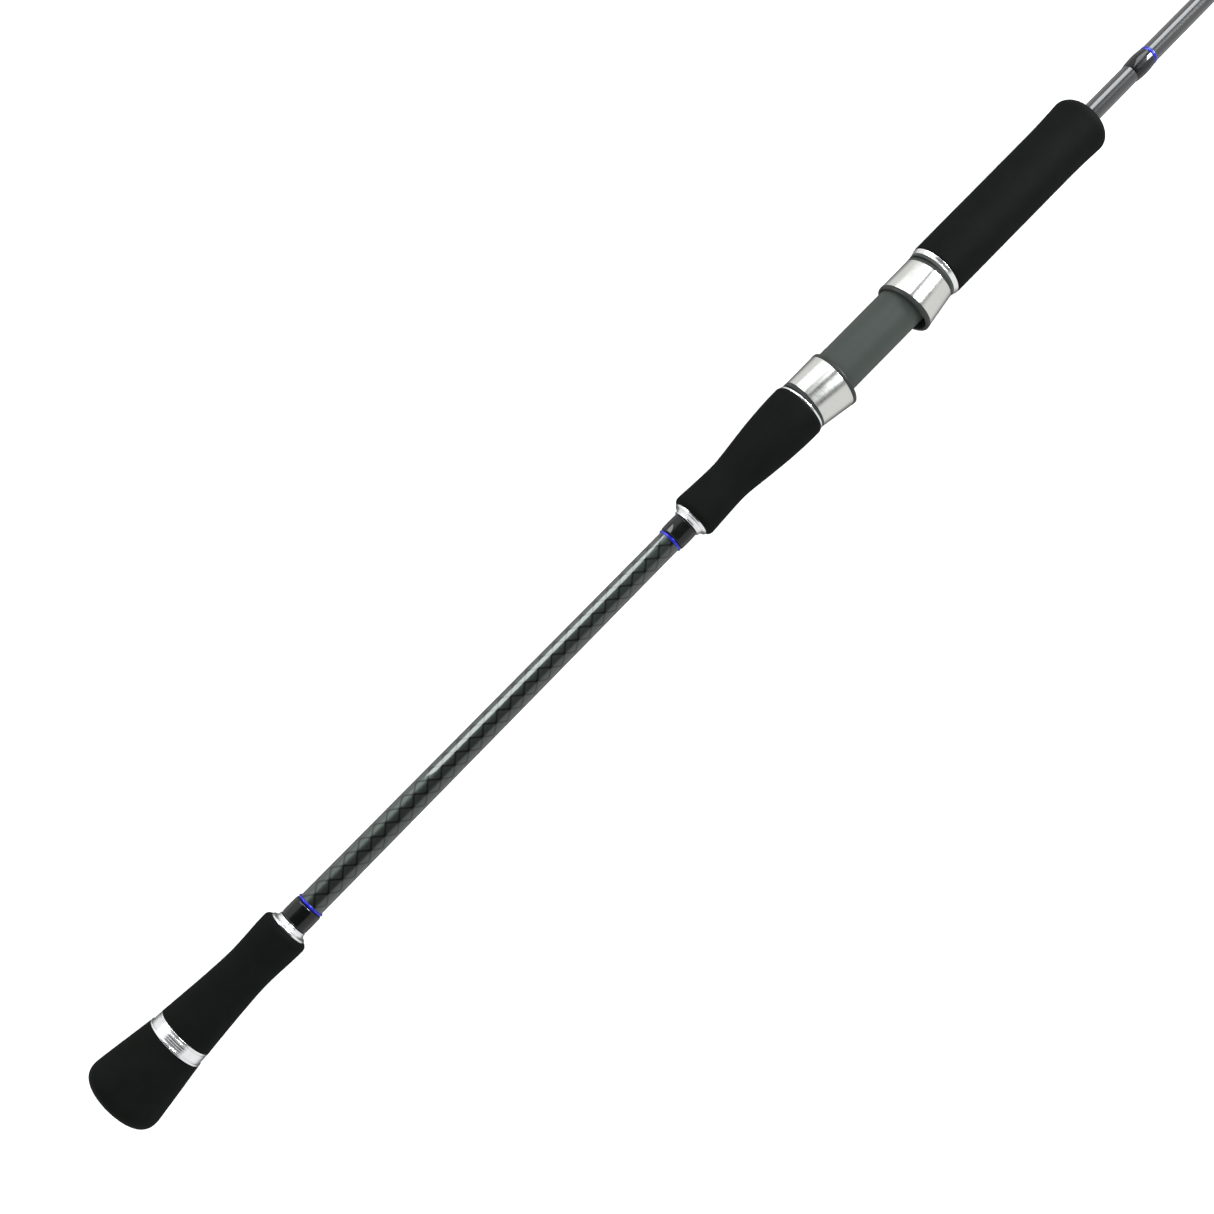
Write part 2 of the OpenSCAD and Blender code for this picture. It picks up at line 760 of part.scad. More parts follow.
module guide_wraps(i) {
    size = guide_size[i - 1];
    x = guide_x(i);
    color(black_thread) placed() for (dir = [-1, 1]) {
        span = wrap_span(i, dir);
        difference() {
            foot_wrap(span[0], span[1]);
            turned(blank_cutter(span[0] - 1, span[1] + 1));
            foot(x, dir, size, 0.3, 0.03);
        }
    }
}

module guide_bands(i) {
    color(blue_thread) placed() for (dir = [-1, 1]) {
        span = wrap_span(i, dir);
        x0 = dir < 0 ? span[0] - band_length - band_gap : span[1] + band_gap;
        wrap_ring(x0, x0 + band_length, band_h, band_ramp);
    }
}

// ---- Tip-top ----

// The tube over the blank's end, the ring's holder, two side bars and a short bar under the ring.
module tip_frame() {
    ring_side = -tip_height + tip_size / 2;
    color(steel) placed() difference() {
        union() {
            plug(tip_tube_r, tip_tube_x, tip_tube_end_x);
            translate([0, -tip_height, 0])
                plug(tip_size / 2 + holder_t, tip_ring_x - tip_holder_w / 2, tip_ring_x + tip_holder_w / 2);
            for (side = [-1, 1])
                bar(
                    [tip_tube_x + 2, -tip_tube_r + 0.2, side * 0.6],
                    [tip_ring_x, -tip_height + 2, side * (tip_size / 2 - 0.2)],
                    tip_bar_r
                );
            bar([blank_end_x, -1, 0], [tip_ring_x, ring_side + 0.4, 0], tip_bar_r + 0.15);
        }
        turned(blank_cutter(tip_tube_x - 1, blank_end_x));
        translate([0, -tip_height, 0]) plug(tip_size / 2, tip_ring_x - clear / 2, tip_ring_x + clear / 2);
    }
}

module tip_ring() {
    color(ceramic) placed() ceramic_ring(tip_ring_x, tip_height, tip_size);
}

module tip_wrap() {
    x0 = tip_tube_x - tip_wrap_length;
    color(black_thread) placed() wrap_ring(x0, tip_tube_x, tip_wrap_h, 1);
}

module tip_band() {
    x1 = tip_tube_x - tip_wrap_length;
    color(blue_thread) placed() wrap_ring(x1 - band_length, x1, band_h, band_ramp);
}

blank();
woven_layer();
butt_knob();
butt_ring();
lower_grip();
lower_check();
lower_wrap();
lower_band();
rear_band();
rear_wrap();
rear_check();
rear_grip();
seat_ring();
seat_arbors();
seat_body();
seat_thread();
rear_hood_shell();
rear_hood_liner();
front_hood_shell();
front_hood_liner();
lock_nut();
nut_ring();
fore_grip();
stopper_wrap();
stopper_band();
guide_frame(1);  // guide_1_frame
guide_ring(1);  // guide_1_ring
guide_wraps(1);  // guide_1_wraps
guide_bands(1);  // guide_1_bands
guide_frame(2);  // guide_2_frame
guide_ring(2);  // guide_2_ring
guide_wraps(2);  // guide_2_wraps
guide_bands(2);  // guide_2_bands
guide_frame(3);  // guide_3_frame
guide_ring(3);  // guide_3_ring
guide_wraps(3);  // guide_3_wraps
guide_bands(3);  // guide_3_bands
guide_frame(4);  // guide_4_frame
guide_ring(4);  // guide_4_ring
guide_wraps(4);  // guide_4_wraps
guide_bands(4);  // guide_4_bands
guide_frame(5);  // guide_5_frame
guide_ring(5);  // guide_5_ring
guide_wraps(5);  // guide_5_wraps
guide_bands(5);  // guide_5_bands
guide_frame(6);  // guide_6_frame
guide_ring(6);  // guide_6_ring
guide_wraps(6);  // guide_6_wraps
guide_bands(6);  // guide_6_bands
guide_frame(7);  // guide_7_frame
guide_ring(7);  // guide_7_ring
guide_wraps(7);  // guide_7_wraps
guide_bands(7);  // guide_7_bands
tip_frame();
tip_ring();
tip_wrap();
tip_band();
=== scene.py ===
"""Looks of the spinning rod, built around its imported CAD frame.

Lengths are millimetres in the frame's own axes (+X towards the tip, -Y the reel and guide side,
+Z up with the rod lying on its side) until a mesh is made, and metres from then on.
"""

import json
import math

import bmesh
import bpy
import numpy as np
from mathutils import Matrix, Vector, noise

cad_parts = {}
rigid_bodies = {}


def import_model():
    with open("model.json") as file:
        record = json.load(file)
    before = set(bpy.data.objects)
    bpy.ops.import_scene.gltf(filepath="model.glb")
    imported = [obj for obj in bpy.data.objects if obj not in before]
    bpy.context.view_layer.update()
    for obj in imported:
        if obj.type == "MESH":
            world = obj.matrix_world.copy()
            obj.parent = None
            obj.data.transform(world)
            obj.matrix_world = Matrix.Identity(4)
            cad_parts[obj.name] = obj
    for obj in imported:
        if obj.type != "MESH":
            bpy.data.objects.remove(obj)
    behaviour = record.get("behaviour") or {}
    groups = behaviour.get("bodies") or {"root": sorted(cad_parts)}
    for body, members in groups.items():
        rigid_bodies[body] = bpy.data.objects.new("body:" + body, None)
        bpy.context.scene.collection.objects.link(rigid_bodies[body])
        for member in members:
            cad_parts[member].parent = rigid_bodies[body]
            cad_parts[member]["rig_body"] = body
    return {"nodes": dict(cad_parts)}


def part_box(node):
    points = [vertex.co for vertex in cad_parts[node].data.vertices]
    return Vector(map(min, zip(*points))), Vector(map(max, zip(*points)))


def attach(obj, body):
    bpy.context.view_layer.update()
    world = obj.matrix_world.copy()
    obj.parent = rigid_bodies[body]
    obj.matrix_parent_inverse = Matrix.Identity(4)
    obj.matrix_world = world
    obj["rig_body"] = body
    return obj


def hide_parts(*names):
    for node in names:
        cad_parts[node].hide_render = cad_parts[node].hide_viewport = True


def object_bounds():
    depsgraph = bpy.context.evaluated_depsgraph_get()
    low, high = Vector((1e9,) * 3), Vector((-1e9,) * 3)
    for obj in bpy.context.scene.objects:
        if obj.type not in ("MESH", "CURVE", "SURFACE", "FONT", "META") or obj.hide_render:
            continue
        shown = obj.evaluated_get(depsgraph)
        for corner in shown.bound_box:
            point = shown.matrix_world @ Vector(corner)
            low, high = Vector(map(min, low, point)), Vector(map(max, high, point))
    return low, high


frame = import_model()
cad_low, cad_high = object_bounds()

MM = 0.001
TAU = 2 * math.pi


# ---- What the frame says ----


def span(node):
    """Where a CAD node starts and ends along X, in millimetres."""
    low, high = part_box(node)
    return low.x / MM, high.x / MM


def outline(*names):
    """The outside of turned CAD nodes as (station, radius) points, where their edges reach furthest."""
    ends = []
    for name in names:
        mesh = frame["nodes"][name].data
        points = np.array([v.co for v in mesh.vertices]) / MM
        turned_points = np.stack([points[:, 0], np.hypot(points[:, 1], points[:, 2])], -1)
        ends.append(turned_points[np.array([e.vertices[:] for e in mesh.edges])])
    ends = np.concatenate(ends)
    (x0, r0), (x1, r1) = ends[:, 0].T, ends[:, 1].T
    length = np.where(np.abs(x1 - x0) < 1e-6, np.inf, x1 - x0)
    out = []
    for x in np.unique(np.round(ends[..., 0], 2)):
        share = np.clip((x - x0) / length, 0, 1)
        near = (np.minimum(x0, x1) < x + 0.006) & (np.maximum(x0, x1) > x - 0.006)
        flat = np.maximum(r0, r1) * np.isinf(length)
        out.append((x, np.maximum(r0 + (r1 - r0) * share, flat)[near].max()))
    return out


BLANK_STATIONS, BLANK_RADII = np.array(outline("blank", "woven_layer")).T


def blank_r(x):
    """Radius of the blank's outside at a station, the woven layer included."""
    return float(np.interp(x, BLANK_STATIONS, BLANK_RADII))


# ---- Mesh tools ----


def make_piece(name, vertices, faces, node, material, crease=35):
    """A smooth mesh that stands for a CAD node, rides on its body and hides the node."""
    mesh = bpy.data.meshes.new(name)
    mesh.from_pydata([tuple(v) for v in np.asarray(vertices) * MM], [], faces)
    mesh.validate()
    solid = bmesh.new()
    solid.from_mesh(mesh)
    bmesh.ops.recalc_face_normals(solid, faces=solid.faces)
    solid.to_mesh(mesh)
    solid.free()
    mesh.polygons.foreach_set("use_smooth", [True] * len(mesh.polygons))
    mesh.set_sharp_from_angle(angle=math.radians(crease))
    mesh.materials.append(material)
    piece = bpy.data.objects.new(name, mesh)
    bpy.context.scene.collection.objects.link(piece)
    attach(piece, frame["nodes"][node]["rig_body"])
    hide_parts(node)
    return piece


def ring_faces(rings, segments, closed):
    """Quads between successive rings of vertices, and from the last to the first where closed."""
    faces = []
    for i in range(rings if closed else rings - 1):
        j = (i + 1) % rings
        for k in range(segments):
            m = (k + 1) % segments
            faces.append((i * segments + k, i * segments + m, j * segments + m, j * segments + k))
    return faces


def turned(loop, segments=96, shape=None, place=None, closed=True):
    """Vertices and faces of a closed outline of (station, radius) turned about X.

    An outline that isn't closed starts and ends on the axis. shape moves the radius by its value at
    (station, radius, angle), and place is a 4x4 matrix applied last.
    """
    stations, radii = np.array(loop, float).T
    angles = np.arange(segments) * TAU / segments
    x = np.repeat(stations[:, None], segments, 1)
    r = np.repeat(radii[:, None], segments, 1)
    a = np.repeat(angles[None], len(loop), 0)
    if shape:
        r = r + shape(x, r, a)
    vertices = np.stack([x, r * np.cos(a), r * np.sin(a)], -1).reshape(-1, 3)
    faces = ring_faces(len(loop), segments, closed)
    if not closed:
        first, last = len(vertices), len(vertices) + 1
        poles = [[stations[0], 0, 0], [stations[-1], 0, 0]]
        vertices = np.vstack([vertices, poles])
        end = (len(loop) - 1) * segments
        for k in range(segments):
            m = (k + 1) % segments
            faces.append((first, m, k))
            faces.append((last, end + k, end + m))
    if place is not None:
        vertices = vertices @ np.array(place.to_3x3()).T + np.array(place.translation)
    return vertices, faces


def joined(*parts):
    """Several (vertices, faces) as one."""
    vertices, faces, start = [], [], 0
    for v, f in parts:
        vertices.append(np.asarray(v, float))
        faces += [tuple(i + start for i in face) for face in f]
        start += len(v)
    return np.vstack(vertices), faces


def rounded(points, radius, steps=4):
    """A closed outline with each corner replaced by an arc of about that radius."""
    points = [np.array(p, float) for p in points]
    out = []
    for i, p in enumerate(points):
        before, after = points[i - 1], points[(i + 1) % len(points)]
        to_before, to_after = before - p, after - p
        reach = min(radius, 0.45 * np.linalg.norm(to_before), 0.45 * np.linalg.norm(to_after))
        start = p + to_before / np.linalg.norm(to_before) * reach
        end = p + to_after / np.linalg.norm(to_after) * reach
        for t in np.linspace(0, 1, steps):
            out.append(tuple((1 - t) ** 2 * start + 2 * t * (1 - t) * p + t * t * end))
    return out


def along_curve(points):
    """The distance along a polyline of each of its points."""
    return np.concatenate([[0], np.cumsum(np.linalg.norm(np.diff(points, axis=0), axis=1))])


def softened(points, step, widest=3.5, corner=9.0):
    """The same outline with a point every step, smoothed; less so within a corner's length of its ends."""
    points = np.array(points, float)
    way = along_curve(points)
    fine = np.arange(0, way[-1], 0.1)
    curve = np.stack([np.interp(fine, way, points[:, i]) for i in (0, 1)], -1)
    out = [points[0]]
    for s in np.linspace(0, way[-1], max(3, round(way[-1] / step)))[1:-1]:
        edge = min(s, way[-1] - s)
        reach = min(widest, max(0.35, (edge - corner) * 0.5), edge)
        out.append(curve[np.abs(fine - s) <= reach].mean(0))
    return out + [points[-1]]


def smooth_path(points, count):
    """A Catmull-Rom curve through the points, with that many steps between two of them."""
    points = [np.array(p, float) for p in points]
    ends = [2 * points[0] - points[1]] + points + [2 * points[-1] - points[-2]]
    out = [points[0]]
    for a, b, c, d in zip(ends, ends[1:], ends[2:], ends[3:]):
        for t in np.arange(1, count + 1) / count:
            out.append(0.5 * (2 * b + (c - a) * t + (2 * a - 5 * b + 4 * c - d) * t**2
                              + (3 * b - a - 3 * c + d) * t**3))
    return out


def lofted(rings):
    """A closed solid through rings of as many points each, with flat ends."""
    sides = len(rings[0])
    faces = ring_faces(len(rings), sides, False)
    faces.append(tuple(reversed(range(sides))))
    faces.append(tuple((len(rings) - 1) * sides + k for k in range(sides)))
    return np.vstack(rings), faces


def swept(path, radius, flatness=1.0, side=(0, 0, 1), sides=16):
    """A bar along a path, of that radius along the side direction and flatness times it across."""
    path = np.array(path, float)
    side = np.array(side, float)
    angles = np.arange(sides) * TAU / sides
    rings = []
    for p, along in zip(path, np.gradient(path, axis=0)):
        along = along / np.linalg.norm(along)
        across = side - side.dot(along) * along
        across /= np.linalg.norm(across)
        up = np.cross(along, across)
        circle = np.outer(np.cos(angles), across) + flatness * np.outer(np.sin(angles), up)
        rings.append(p + radius * circle)
    return lofted(rings)


# ---- Materials ----


class Shader:
    """A material with a Principled shader, and short calls for the nodes that drive it."""

    def __init__(self, name, **constants):
        self.material = bpy.data.materials.new(name)
        self.material.use_nodes = True
        self.tree = self.material.node_tree
        self.surface = self.tree.nodes["Principled BSDF"]
        for key, value in constants.items():
            self.surface.inputs[key.replace("_", " ")].default_value = value
        self.place = self.node("ShaderNodeTexCoord").outputs["Object"]

    def node(self, kind, **settings):
        made = self.tree.nodes.new(kind)
        for key, value in settings.items():
            setattr(made, key, value)
        return made

    def feed(self, socket, value):
        if isinstance(value, bpy.types.NodeSocket):
            self.tree.links.new(value, socket)
        elif value is not None:
            socket.default_value = value

    def drive(self, name, value):
        self.feed(self.surface.inputs[name], value)

    def math(self, operation, *values):
        made = self.node("ShaderNodeMath", operation=operation)
        for socket, value in zip(made.inputs, values):
            self.feed(socket, value)
        return made.outputs[0]

    def scaled(self, x, y, z):
        made = self.node("ShaderNodeVectorMath", operation="MULTIPLY")
        self.feed(made.inputs[0], self.place)
        made.inputs[1].default_value = (x, y, z)
        return made.outputs[0]

    def axes(self):
        """X along the rod in millimetres, and the angle round it in radians."""
        split = self.node("ShaderNodeSeparateXYZ")
        self.feed(split.inputs[0], self.place)
        x = self.math("DIVIDE", split.outputs[0], MM)
        return x, self.math("ARCTAN2", split.outputs[2], split.outputs[1])

    def noise(self, size, detail=3, vector=None, roughness=0.5):
        """Noise with features of about that many millimetres."""
        made = self.node("ShaderNodeTexNoise")
        self.feed(made.inputs["Vector"], vector or self.place)
        made.inputs["Scale"].default_value = 1 / (size * MM) if vector is None else 1
        made.inputs["Detail"].default_value = detail
        made.inputs["Roughness"].default_value = roughness
        return made.outputs["Fac"]

    def cells(self, size):
        """Distance from the middle of random cells of about that many millimetres."""
        made = self.node("ShaderNodeTexVoronoi")
        self.feed(made.inputs["Vector"], self.place)
        made.inputs["Scale"].default_value = 1 / (size * MM)
        return made.outputs["Distance"]

    def span(self, value, low, high, to_low, to_high):
        made = self.node("ShaderNodeMapRange")
        self.feed(made.inputs["Value"], value)
        for key, number in zip(("From Min", "From Max", "To Min", "To Max"), (low, high, to_low, to_high)):
            made.inputs[key].default_value = number
        return made.outputs["Result"]

    def mixed(self, share, first, second):
        made = self.node("ShaderNodeMix", data_type="RGBA")
        self.feed(made.inputs[0], share)
        for socket, value in ((made.inputs[6], first), (made.inputs[7], second)):
            self.feed(socket, value if isinstance(value, bpy.types.NodeSocket) else (*value, 1))
        return made.outputs[2]

    def bump(self, height, depth, strength=1, base=None):
        """A bump of that many millimetres from low to high."""
        made = self.node("ShaderNodeBump")
        made.inputs["Strength"].default_value = strength
        made.inputs["Distance"].default_value = depth * MM
        self.feed(made.inputs["Height"], height)
        if base is not None:
            self.feed(made.inputs["Normal"], base)
        return made.outputs["Normal"]

    def turned_round(self):
        """Makes highlights follow lines that run round the rod."""
        tangent = self.node("ShaderNodeTangent", direction_type="RADIAL", axis="X")
        self.drive("Tangent", tangent.outputs[0])


def foam_material():
    """Closed-cell foam: nearly black and matte, with fine pores and a faint mottle."""
    s = Shader("eva_foam", IOR=1.45, Specular_IOR_Level=0.06)
    pores = s.cells(0.42)
    grain = s.noise(0.22, 5, roughness=0.7)
    mottle = s.noise(9, 2)
    shade = s.math("ADD", s.math("MULTIPLY", grain, 0.6), s.math("MULTIPLY", mottle, 0.4))
    share = s.span(shade, 0.3, 0.7, 0, 1)
    s.drive("Base Color", s.mixed(share, (0.0018, 0.0026, 0.0019), (0.0042, 0.0054, 0.0043)))
    s.drive("Roughness", s.span(grain, 0.3, 0.7, 0.62, 0.85))
    fine = s.bump(grain, 0.03, 0.5)
    s.drive("Normal", s.bump(s.span(pores, 0, 0.35, 0, 1), 0.035, 0.55, fine))
    return s.material


def polished_material():
    """Polished aluminium with the faint rings that turning leaves."""
    s = Shader("polished_aluminium", Metallic=1.0, Anisotropic=0.6, Anisotropic_Rotation=0.25)
    lines = s.noise(1, 4, s.scaled(9000, 12, 12))
    smears = s.noise(3, 3)
    s.drive("Base Color", s.mixed(smears, (0.76, 0.77, 0.78), (0.84, 0.845, 0.85)))
    line_roughness = s.span(lines, 0.3, 0.7, 0.21, 0.27)
    s.drive("Roughness", s.math("ADD", line_roughness, s.span(smears, 0.35, 0.65, 0, 0.03)))
    s.drive("Normal", s.bump(lines, 0.0006, 0.5))
    s.turned_round()
    return s.material


def brushed_material():
    """Stainless steel brushed round the hood, with short scratches and a faint greenish warmth."""
    s = Shader("brushed_stainless", Metallic=1.0, Anisotropic=0.85, Anisotropic_Rotation=0.25)
    brush = s.noise(1, 6, s.scaled(7000, 260, 260), 0.65)
    grain = s.noise(0.35, 4)
    cloud = s.noise(6, 2)
    share = s.math("MULTIPLY", brush, 1.1)
    s.drive("Base Color", s.mixed(share, (0.53, 0.535, 0.505), (0.72, 0.725, 0.685)))
    brush_roughness = s.span(brush, 0.3, 0.7, 0.25, 0.33)
    s.drive("Roughness", s.math("ADD", brush_roughness, s.span(cloud, 0.35, 0.65, -0.01, 0.02)))
    s.drive("Normal", s.bump(grain, 0.004, 0.4, s.bump(brush, 0.006, 0.7)))
    s.turned_round()
    return s.material


def moulded_material(name, dark, light, roughness):
    """Satin moulded nylon with a fine spark-eroded texture."""
    s = Shader(name, IOR=1.5, Specular_IOR_Level=0.22)
    spark = s.noise(0.3, 5, roughness=0.7)
    flow = s.noise(14, 3)
    share = s.math("ADD", s.math("MULTIPLY", spark, 0.45), s.math("MULTIPLY", flow, 0.55))
    s.drive("Base Color", s.mixed(share, dark, light))
    s.drive("Roughness", s.span(spark, 0.3, 0.7, roughness - 0.06, roughness + 0.08))
    s.drive("Normal", s.bump(spark, 0.012, 0.5))
    return s.material


# Length of one diamond of the woven layer along the rod, the diamonds round it, and the tows in one.
DIAMOND_LENGTH = 8.8
DIAMONDS_ROUND = 5
HATCH_LINES = 17


def woven_material():
    """Carbon tapes wound both ways under gloss varnish: staggered diamonds with fine diagonal tows, every
    other diamond made lighter as a painted sheen.
    """
    s = Shader("woven_carbon", Coat_Weight=1.0, Coat_Roughness=0.02, Coat_IOR=1.52, Metallic=1.0)
    x, angle = s.axes()
    u = s.math("DIVIDE", x, DIAMOND_LENGTH)
    v = s.math("MULTIPLY", angle, DIAMONDS_ROUND / TAU)
    p = s.math("ADD", u, v)
    q = s.math("SUBTRACT", u, v)
    edge_p = s.math("PINGPONG", p, 0.5)
    edge_q = s.math("PINGPONG", q, 0.5)
    edge = s.math("MINIMUM", edge_p, edge_q)
    crossing = s.math("ADD", edge_p, edge_q)
    diamond = s.math("ADD", s.math("FLOOR", p), s.math("FLOOR", q))
    over = s.math("GREATER_THAN", s.math("MODULO", diamond, 2), 0.5)
    hatch_p = s.math("SINE", s.math("MULTIPLY", p, TAU * HATCH_LINES))
    hatch_q = s.math("SINE", s.math("MULTIPLY", q, TAU * HATCH_LINES))
    hatch = s.math("ADD", s.math("MULTIPLY", hatch_p, over),
                   s.math("MULTIPLY", hatch_q, s.math("SUBTRACT", 1, over)))
    cross = s.math("MULTIPLY", hatch_p, hatch_q)
    tows = s.math("ADD", s.math("MULTIPLY", hatch, 0.32), s.math("MULTIPLY", cross, 0.25))
    fibres = s.noise(0.25, 3)
    light = s.math("ADD", s.span(tows, -0.6, 0.6, 0.0, 0.8), s.span(fibres, 0.3, 0.7, -0.12, 0.2))
    light = s.math("MULTIPLY", light, s.span(edge, 0.0, 0.12, 0.12, 1))
    light = s.math("MULTIPLY", light, s.span(crossing, 0.0, 0.32, 0.1, 1))
    # Painted sheen: every other diamond is made lighter or darker, standing for the light that the fibres'
    # direction catches.
    light = s.math("MULTIPLY", light, s.span(over, 0, 1, 0.62, 1.15))
    s.drive("Base Color", s.mixed(light, (0.004, 0.005, 0.0045), (0.165, 0.20, 0.178)))
    s.drive("Roughness", s.span(tows, -0.6, 0.6, 0.5, 0.36))
    s.drive("Normal", s.bump(s.math("ADD", tows, s.span(edge, 0, 0.08, 0, 0.8)), 0.02, 0.5))
    return s.material


def carbon_material():
    """Plain carbon under gloss varnish: fine lengthwise fibres and the faint spiral of the winding tape."""
    s = Shader("carbon_blank", Coat_Weight=1.0, Coat_Roughness=0.03, Coat_IOR=1.7, Specular_IOR_Level=0.2)
    x, angle = s.axes()
    fibres = s.noise(1, 4, s.scaled(160, 5200, 5200), 0.6)
    turns = s.math("FRACT", s.math("ADD", s.math("DIVIDE", x, 2.4), s.math("DIVIDE", angle, TAU)))
    ridge = s.math("PINGPONG", turns, 0.5)
    s.drive("Base Color", s.mixed(fibres, (0.002, 0.0023, 0.0021), (0.010, 0.0115, 0.011)))
    s.drive("Roughness", s.span(fibres, 0.3, 0.7, 0.3, 0.45))
    s.drive("Normal", s.bump(fibres, 0.01, 0.4, s.bump(s.span(ridge, 0.4, 0.5, 0, 1), 0.008, 0.4)))
    s.drive("Coat Normal", s.bump(s.span(ridge, 0.42, 0.5, 0, 1), 0.003, 0.35))
    return s.material


# Pitch of the winding thread.
THREAD_PITCH = 0.3


def thread_material(name, dark, light, metallic=0.0, roughness=0.4):
    """Wound thread under clear epoxy: the threads show beneath a smooth gloss coat, each turn painted
    lighter at its crown and darker at its flanks as painted highlight and shade.
    """
    s = Shader(name, Coat_Weight=0.75, Coat_Roughness=0.025, Coat_IOR=1.45, Specular_IOR_Level=0.08)
    x, angle = s.axes()
    turns = s.math("ADD", s.math("DIVIDE", x, THREAD_PITCH), s.math("DIVIDE", angle, TAU))
    thread = s.math("PINGPONG", turns, 0.5)
    lay = s.noise(0.5, 2, s.scaled(2200, 500, 500))
    # Painted highlight and shade: each turn is darkened towards the lines between turns and lightened at its
    # crown; the lay adds random tone.
    share = s.math("MULTIPLY", s.span(thread, 0, 0.5, 0.1, 1), s.span(lay, 0.3, 0.7, 0.6, 1))
    s.drive("Base Color", s.mixed(share, dark, light))
    s.drive("Metallic", s.span(lay, 0.3, 0.7, metallic * 0.8, metallic))
    s.drive("Roughness", s.span(lay, 0.3, 0.7, roughness - 0.08, roughness + 0.08))
    s.drive("Normal", s.bump(thread, 0.06, 0.7))
    s.drive("Coat Normal", s.bump(s.noise(2.2, 2), 0.02, 0.35))
    return s.material


def frame_material():
    """Bright stamped steel of the guide frames, with faint press marks."""
    s = Shader("guide_frame_steel", Metallic=1.0)
    marks = s.noise(0.6, 5, roughness=0.65)
    cloud = s.noise(4, 2)
    s.drive("Base Color", s.mixed(cloud, (0.47, 0.475, 0.48), (0.62, 0.625, 0.63)))
    s.drive("Roughness", s.span(marks, 0.3, 0.7, 0.16, 0.27))
    s.drive("Normal", s.bump(marks, 0.008, 0.4))
    return s.material


def ceramic_material():
    """Polished dark ceramic."""
    s = Shader("guide_ceramic", IOR=1.9, Coat_Weight=0.4, Coat_Roughness=0.04)
    specks = s.noise(0.15, 4)
    s.drive("Base Color", s.mixed(specks, (0.012, 0.012, 0.014), (0.030, 0.030, 0.034)))
    s.drive("Roughness", s.span(specks, 0.3, 0.7, 0.07, 0.13))
    s.drive("Normal", s.bump(specks, 0.002, 0.3))
    return s.material


def arbor_material():
    """Rigid foam of the rings inside the reel seat."""
    s = Shader("arbor_foam", Specular_IOR_Level=0.2)
    pores = s.cells(0.6)
    s.drive("Base Color", s.mixed(s.noise(0.5, 4), (0.20, 0.20, 0.185), (0.34, 0.34, 0.32)))
    s.drive("Roughness", s.span(pores, 0, 0.5, 0.95, 0.8))
    s.drive("Normal", s.bump(pores, 0.08, 0.6))
    return s.material


FOAM = foam_material()
POLISHED = polished_material()
BRUSHED = brushed_material()
SEAT_GREY = moulded_material("seat_grey_nylon", (0.031, 0.038, 0.033), (0.043, 0.052, 0.045), 0.42)
DARK_NYLON = moulded_material("dark_nylon", (0.015, 0.018, 0.016), (0.028, 0.032, 0.029), 0.36)
WOVEN = woven_material()
CARBON = carbon_material()
BLACK_THREAD = thread_material("black_thread", (0.0003, 0.0004, 0.0004), (0.0018, 0.002, 0.0022))
BLUE_THREAD = thread_material("blue_thread", (0.003, 0.004, 0.12), (0.025, 0.035, 0.80), 0.6, 0.3)
FRAME_STEEL = frame_material()
CERAMIC = ceramic_material()
ARBOR = arbor_material()


# ---- Foam grips and knob ----

FOAM_SPACING = 0.8
FOAM_RELIEF = 0.03
# The relief's two sizes of wave, in waves for each millimetre, and the coarse one's share.
FINE_WAVES = 0.7
COARSE_WAVES = 0.16
COARSE_SHARE = 0.6
BORE_STEP = 8
# Outside of the lock nut's sleeve, which the fore grip and the nut ring are glued on.
NUT_SLEEVE_R = 12.7
# The hollow of the fore grip ahead of the sleeve, and its cone down to the blank.
GRIP_HOLLOW_R = 12.0
GRIP_HOLLOW_LENGTH = 26.0
GRIP_HOLLOW_TAPER = 6.0
GRIP_CLEARANCE = 0.2


def foam_relief(x, r, a):
    """The slight unevenness that sanding leaves on a foam grip."""

    def height(station, radius, angle):
        place = Vector((station, radius * math.cos(angle), radius * math.sin(angle)))
        fine = noise.noise(place * FINE_WAVES)
        coarse = noise.noise(place * COARSE_WAVES)
        return FOAM_RELIEF * (fine + COARSE_SHARE * coarse)

    flat = [height(*point) for point in zip(x.ravel(), r.ravel(), a.ravel())]
    return np.array(flat).reshape(x.shape) * (r > 0.5)


def bore_points(x_from, x_to):
    """The inner edge of a piece on the blank, between two stations."""
    count = max(2, int(abs(x_to - x_from) / BORE_STEP))
    return [(x, blank_r(x)) for x in np.linspace(x_from, x_to, count)]


def foam_piece(name, node, inner, closed=True):
    """A foam grip with its CAD outline, smoothed, and the unevenness of sanded foam."""
    outer = outline(node)
    skin = [tuple(p) for p in softened(outer, FOAM_SPACING)]
    segments = int(TAU * max(r for _, r in outer) / FOAM_SPACING)
    mesh = turned(skin + inner, segments, foam_relief, closed=closed)
    piece = make_piece(name, *mesh, node, FOAM, crease=50)
    return piece


def butt_foam():
    """The knob, with the blank's end in a blind hole."""
    _, end = span("butt_knob")
    start, _ = span("blank")
    foam_piece("butt_knob_foam", "butt_knob", bore_points(end, start), closed=False)


def lower_foam():
    start, end = span("lower_grip")
    foam_piece("lower_grip_foam", "lower_grip", bore_points(end, start))


def rear_foam():
    start, end = span("rear_grip")
    foam_piece("rear_grip_foam", "rear_grip", bore_points(end, start))


def fore_foam():
    start, end = span("fore_grip")
    _, sleeve_end = span("lock_nut")
    hollow_end = sleeve_end + GRIP_HOLLOW_LENGTH
    cone_end = hollow_end + GRIP_HOLLOW_TAPER
    inner = [(x, blank_r(x) + GRIP_CLEARANCE) for x in (end, cone_end)]
    inner += [(hollow_end, GRIP_HOLLOW_R), (sleeve_end, GRIP_HOLLOW_R)]
    inner += [(sleeve_end, NUT_SLEEVE_R), (start, NUT_SLEEVE_R)]
    foam_piece("fore_grip_foam", "fore_grip", inner)


butt_foam()
lower_foam()
rear_foam()
fore_foam()


# ---- Blank and woven layer ----


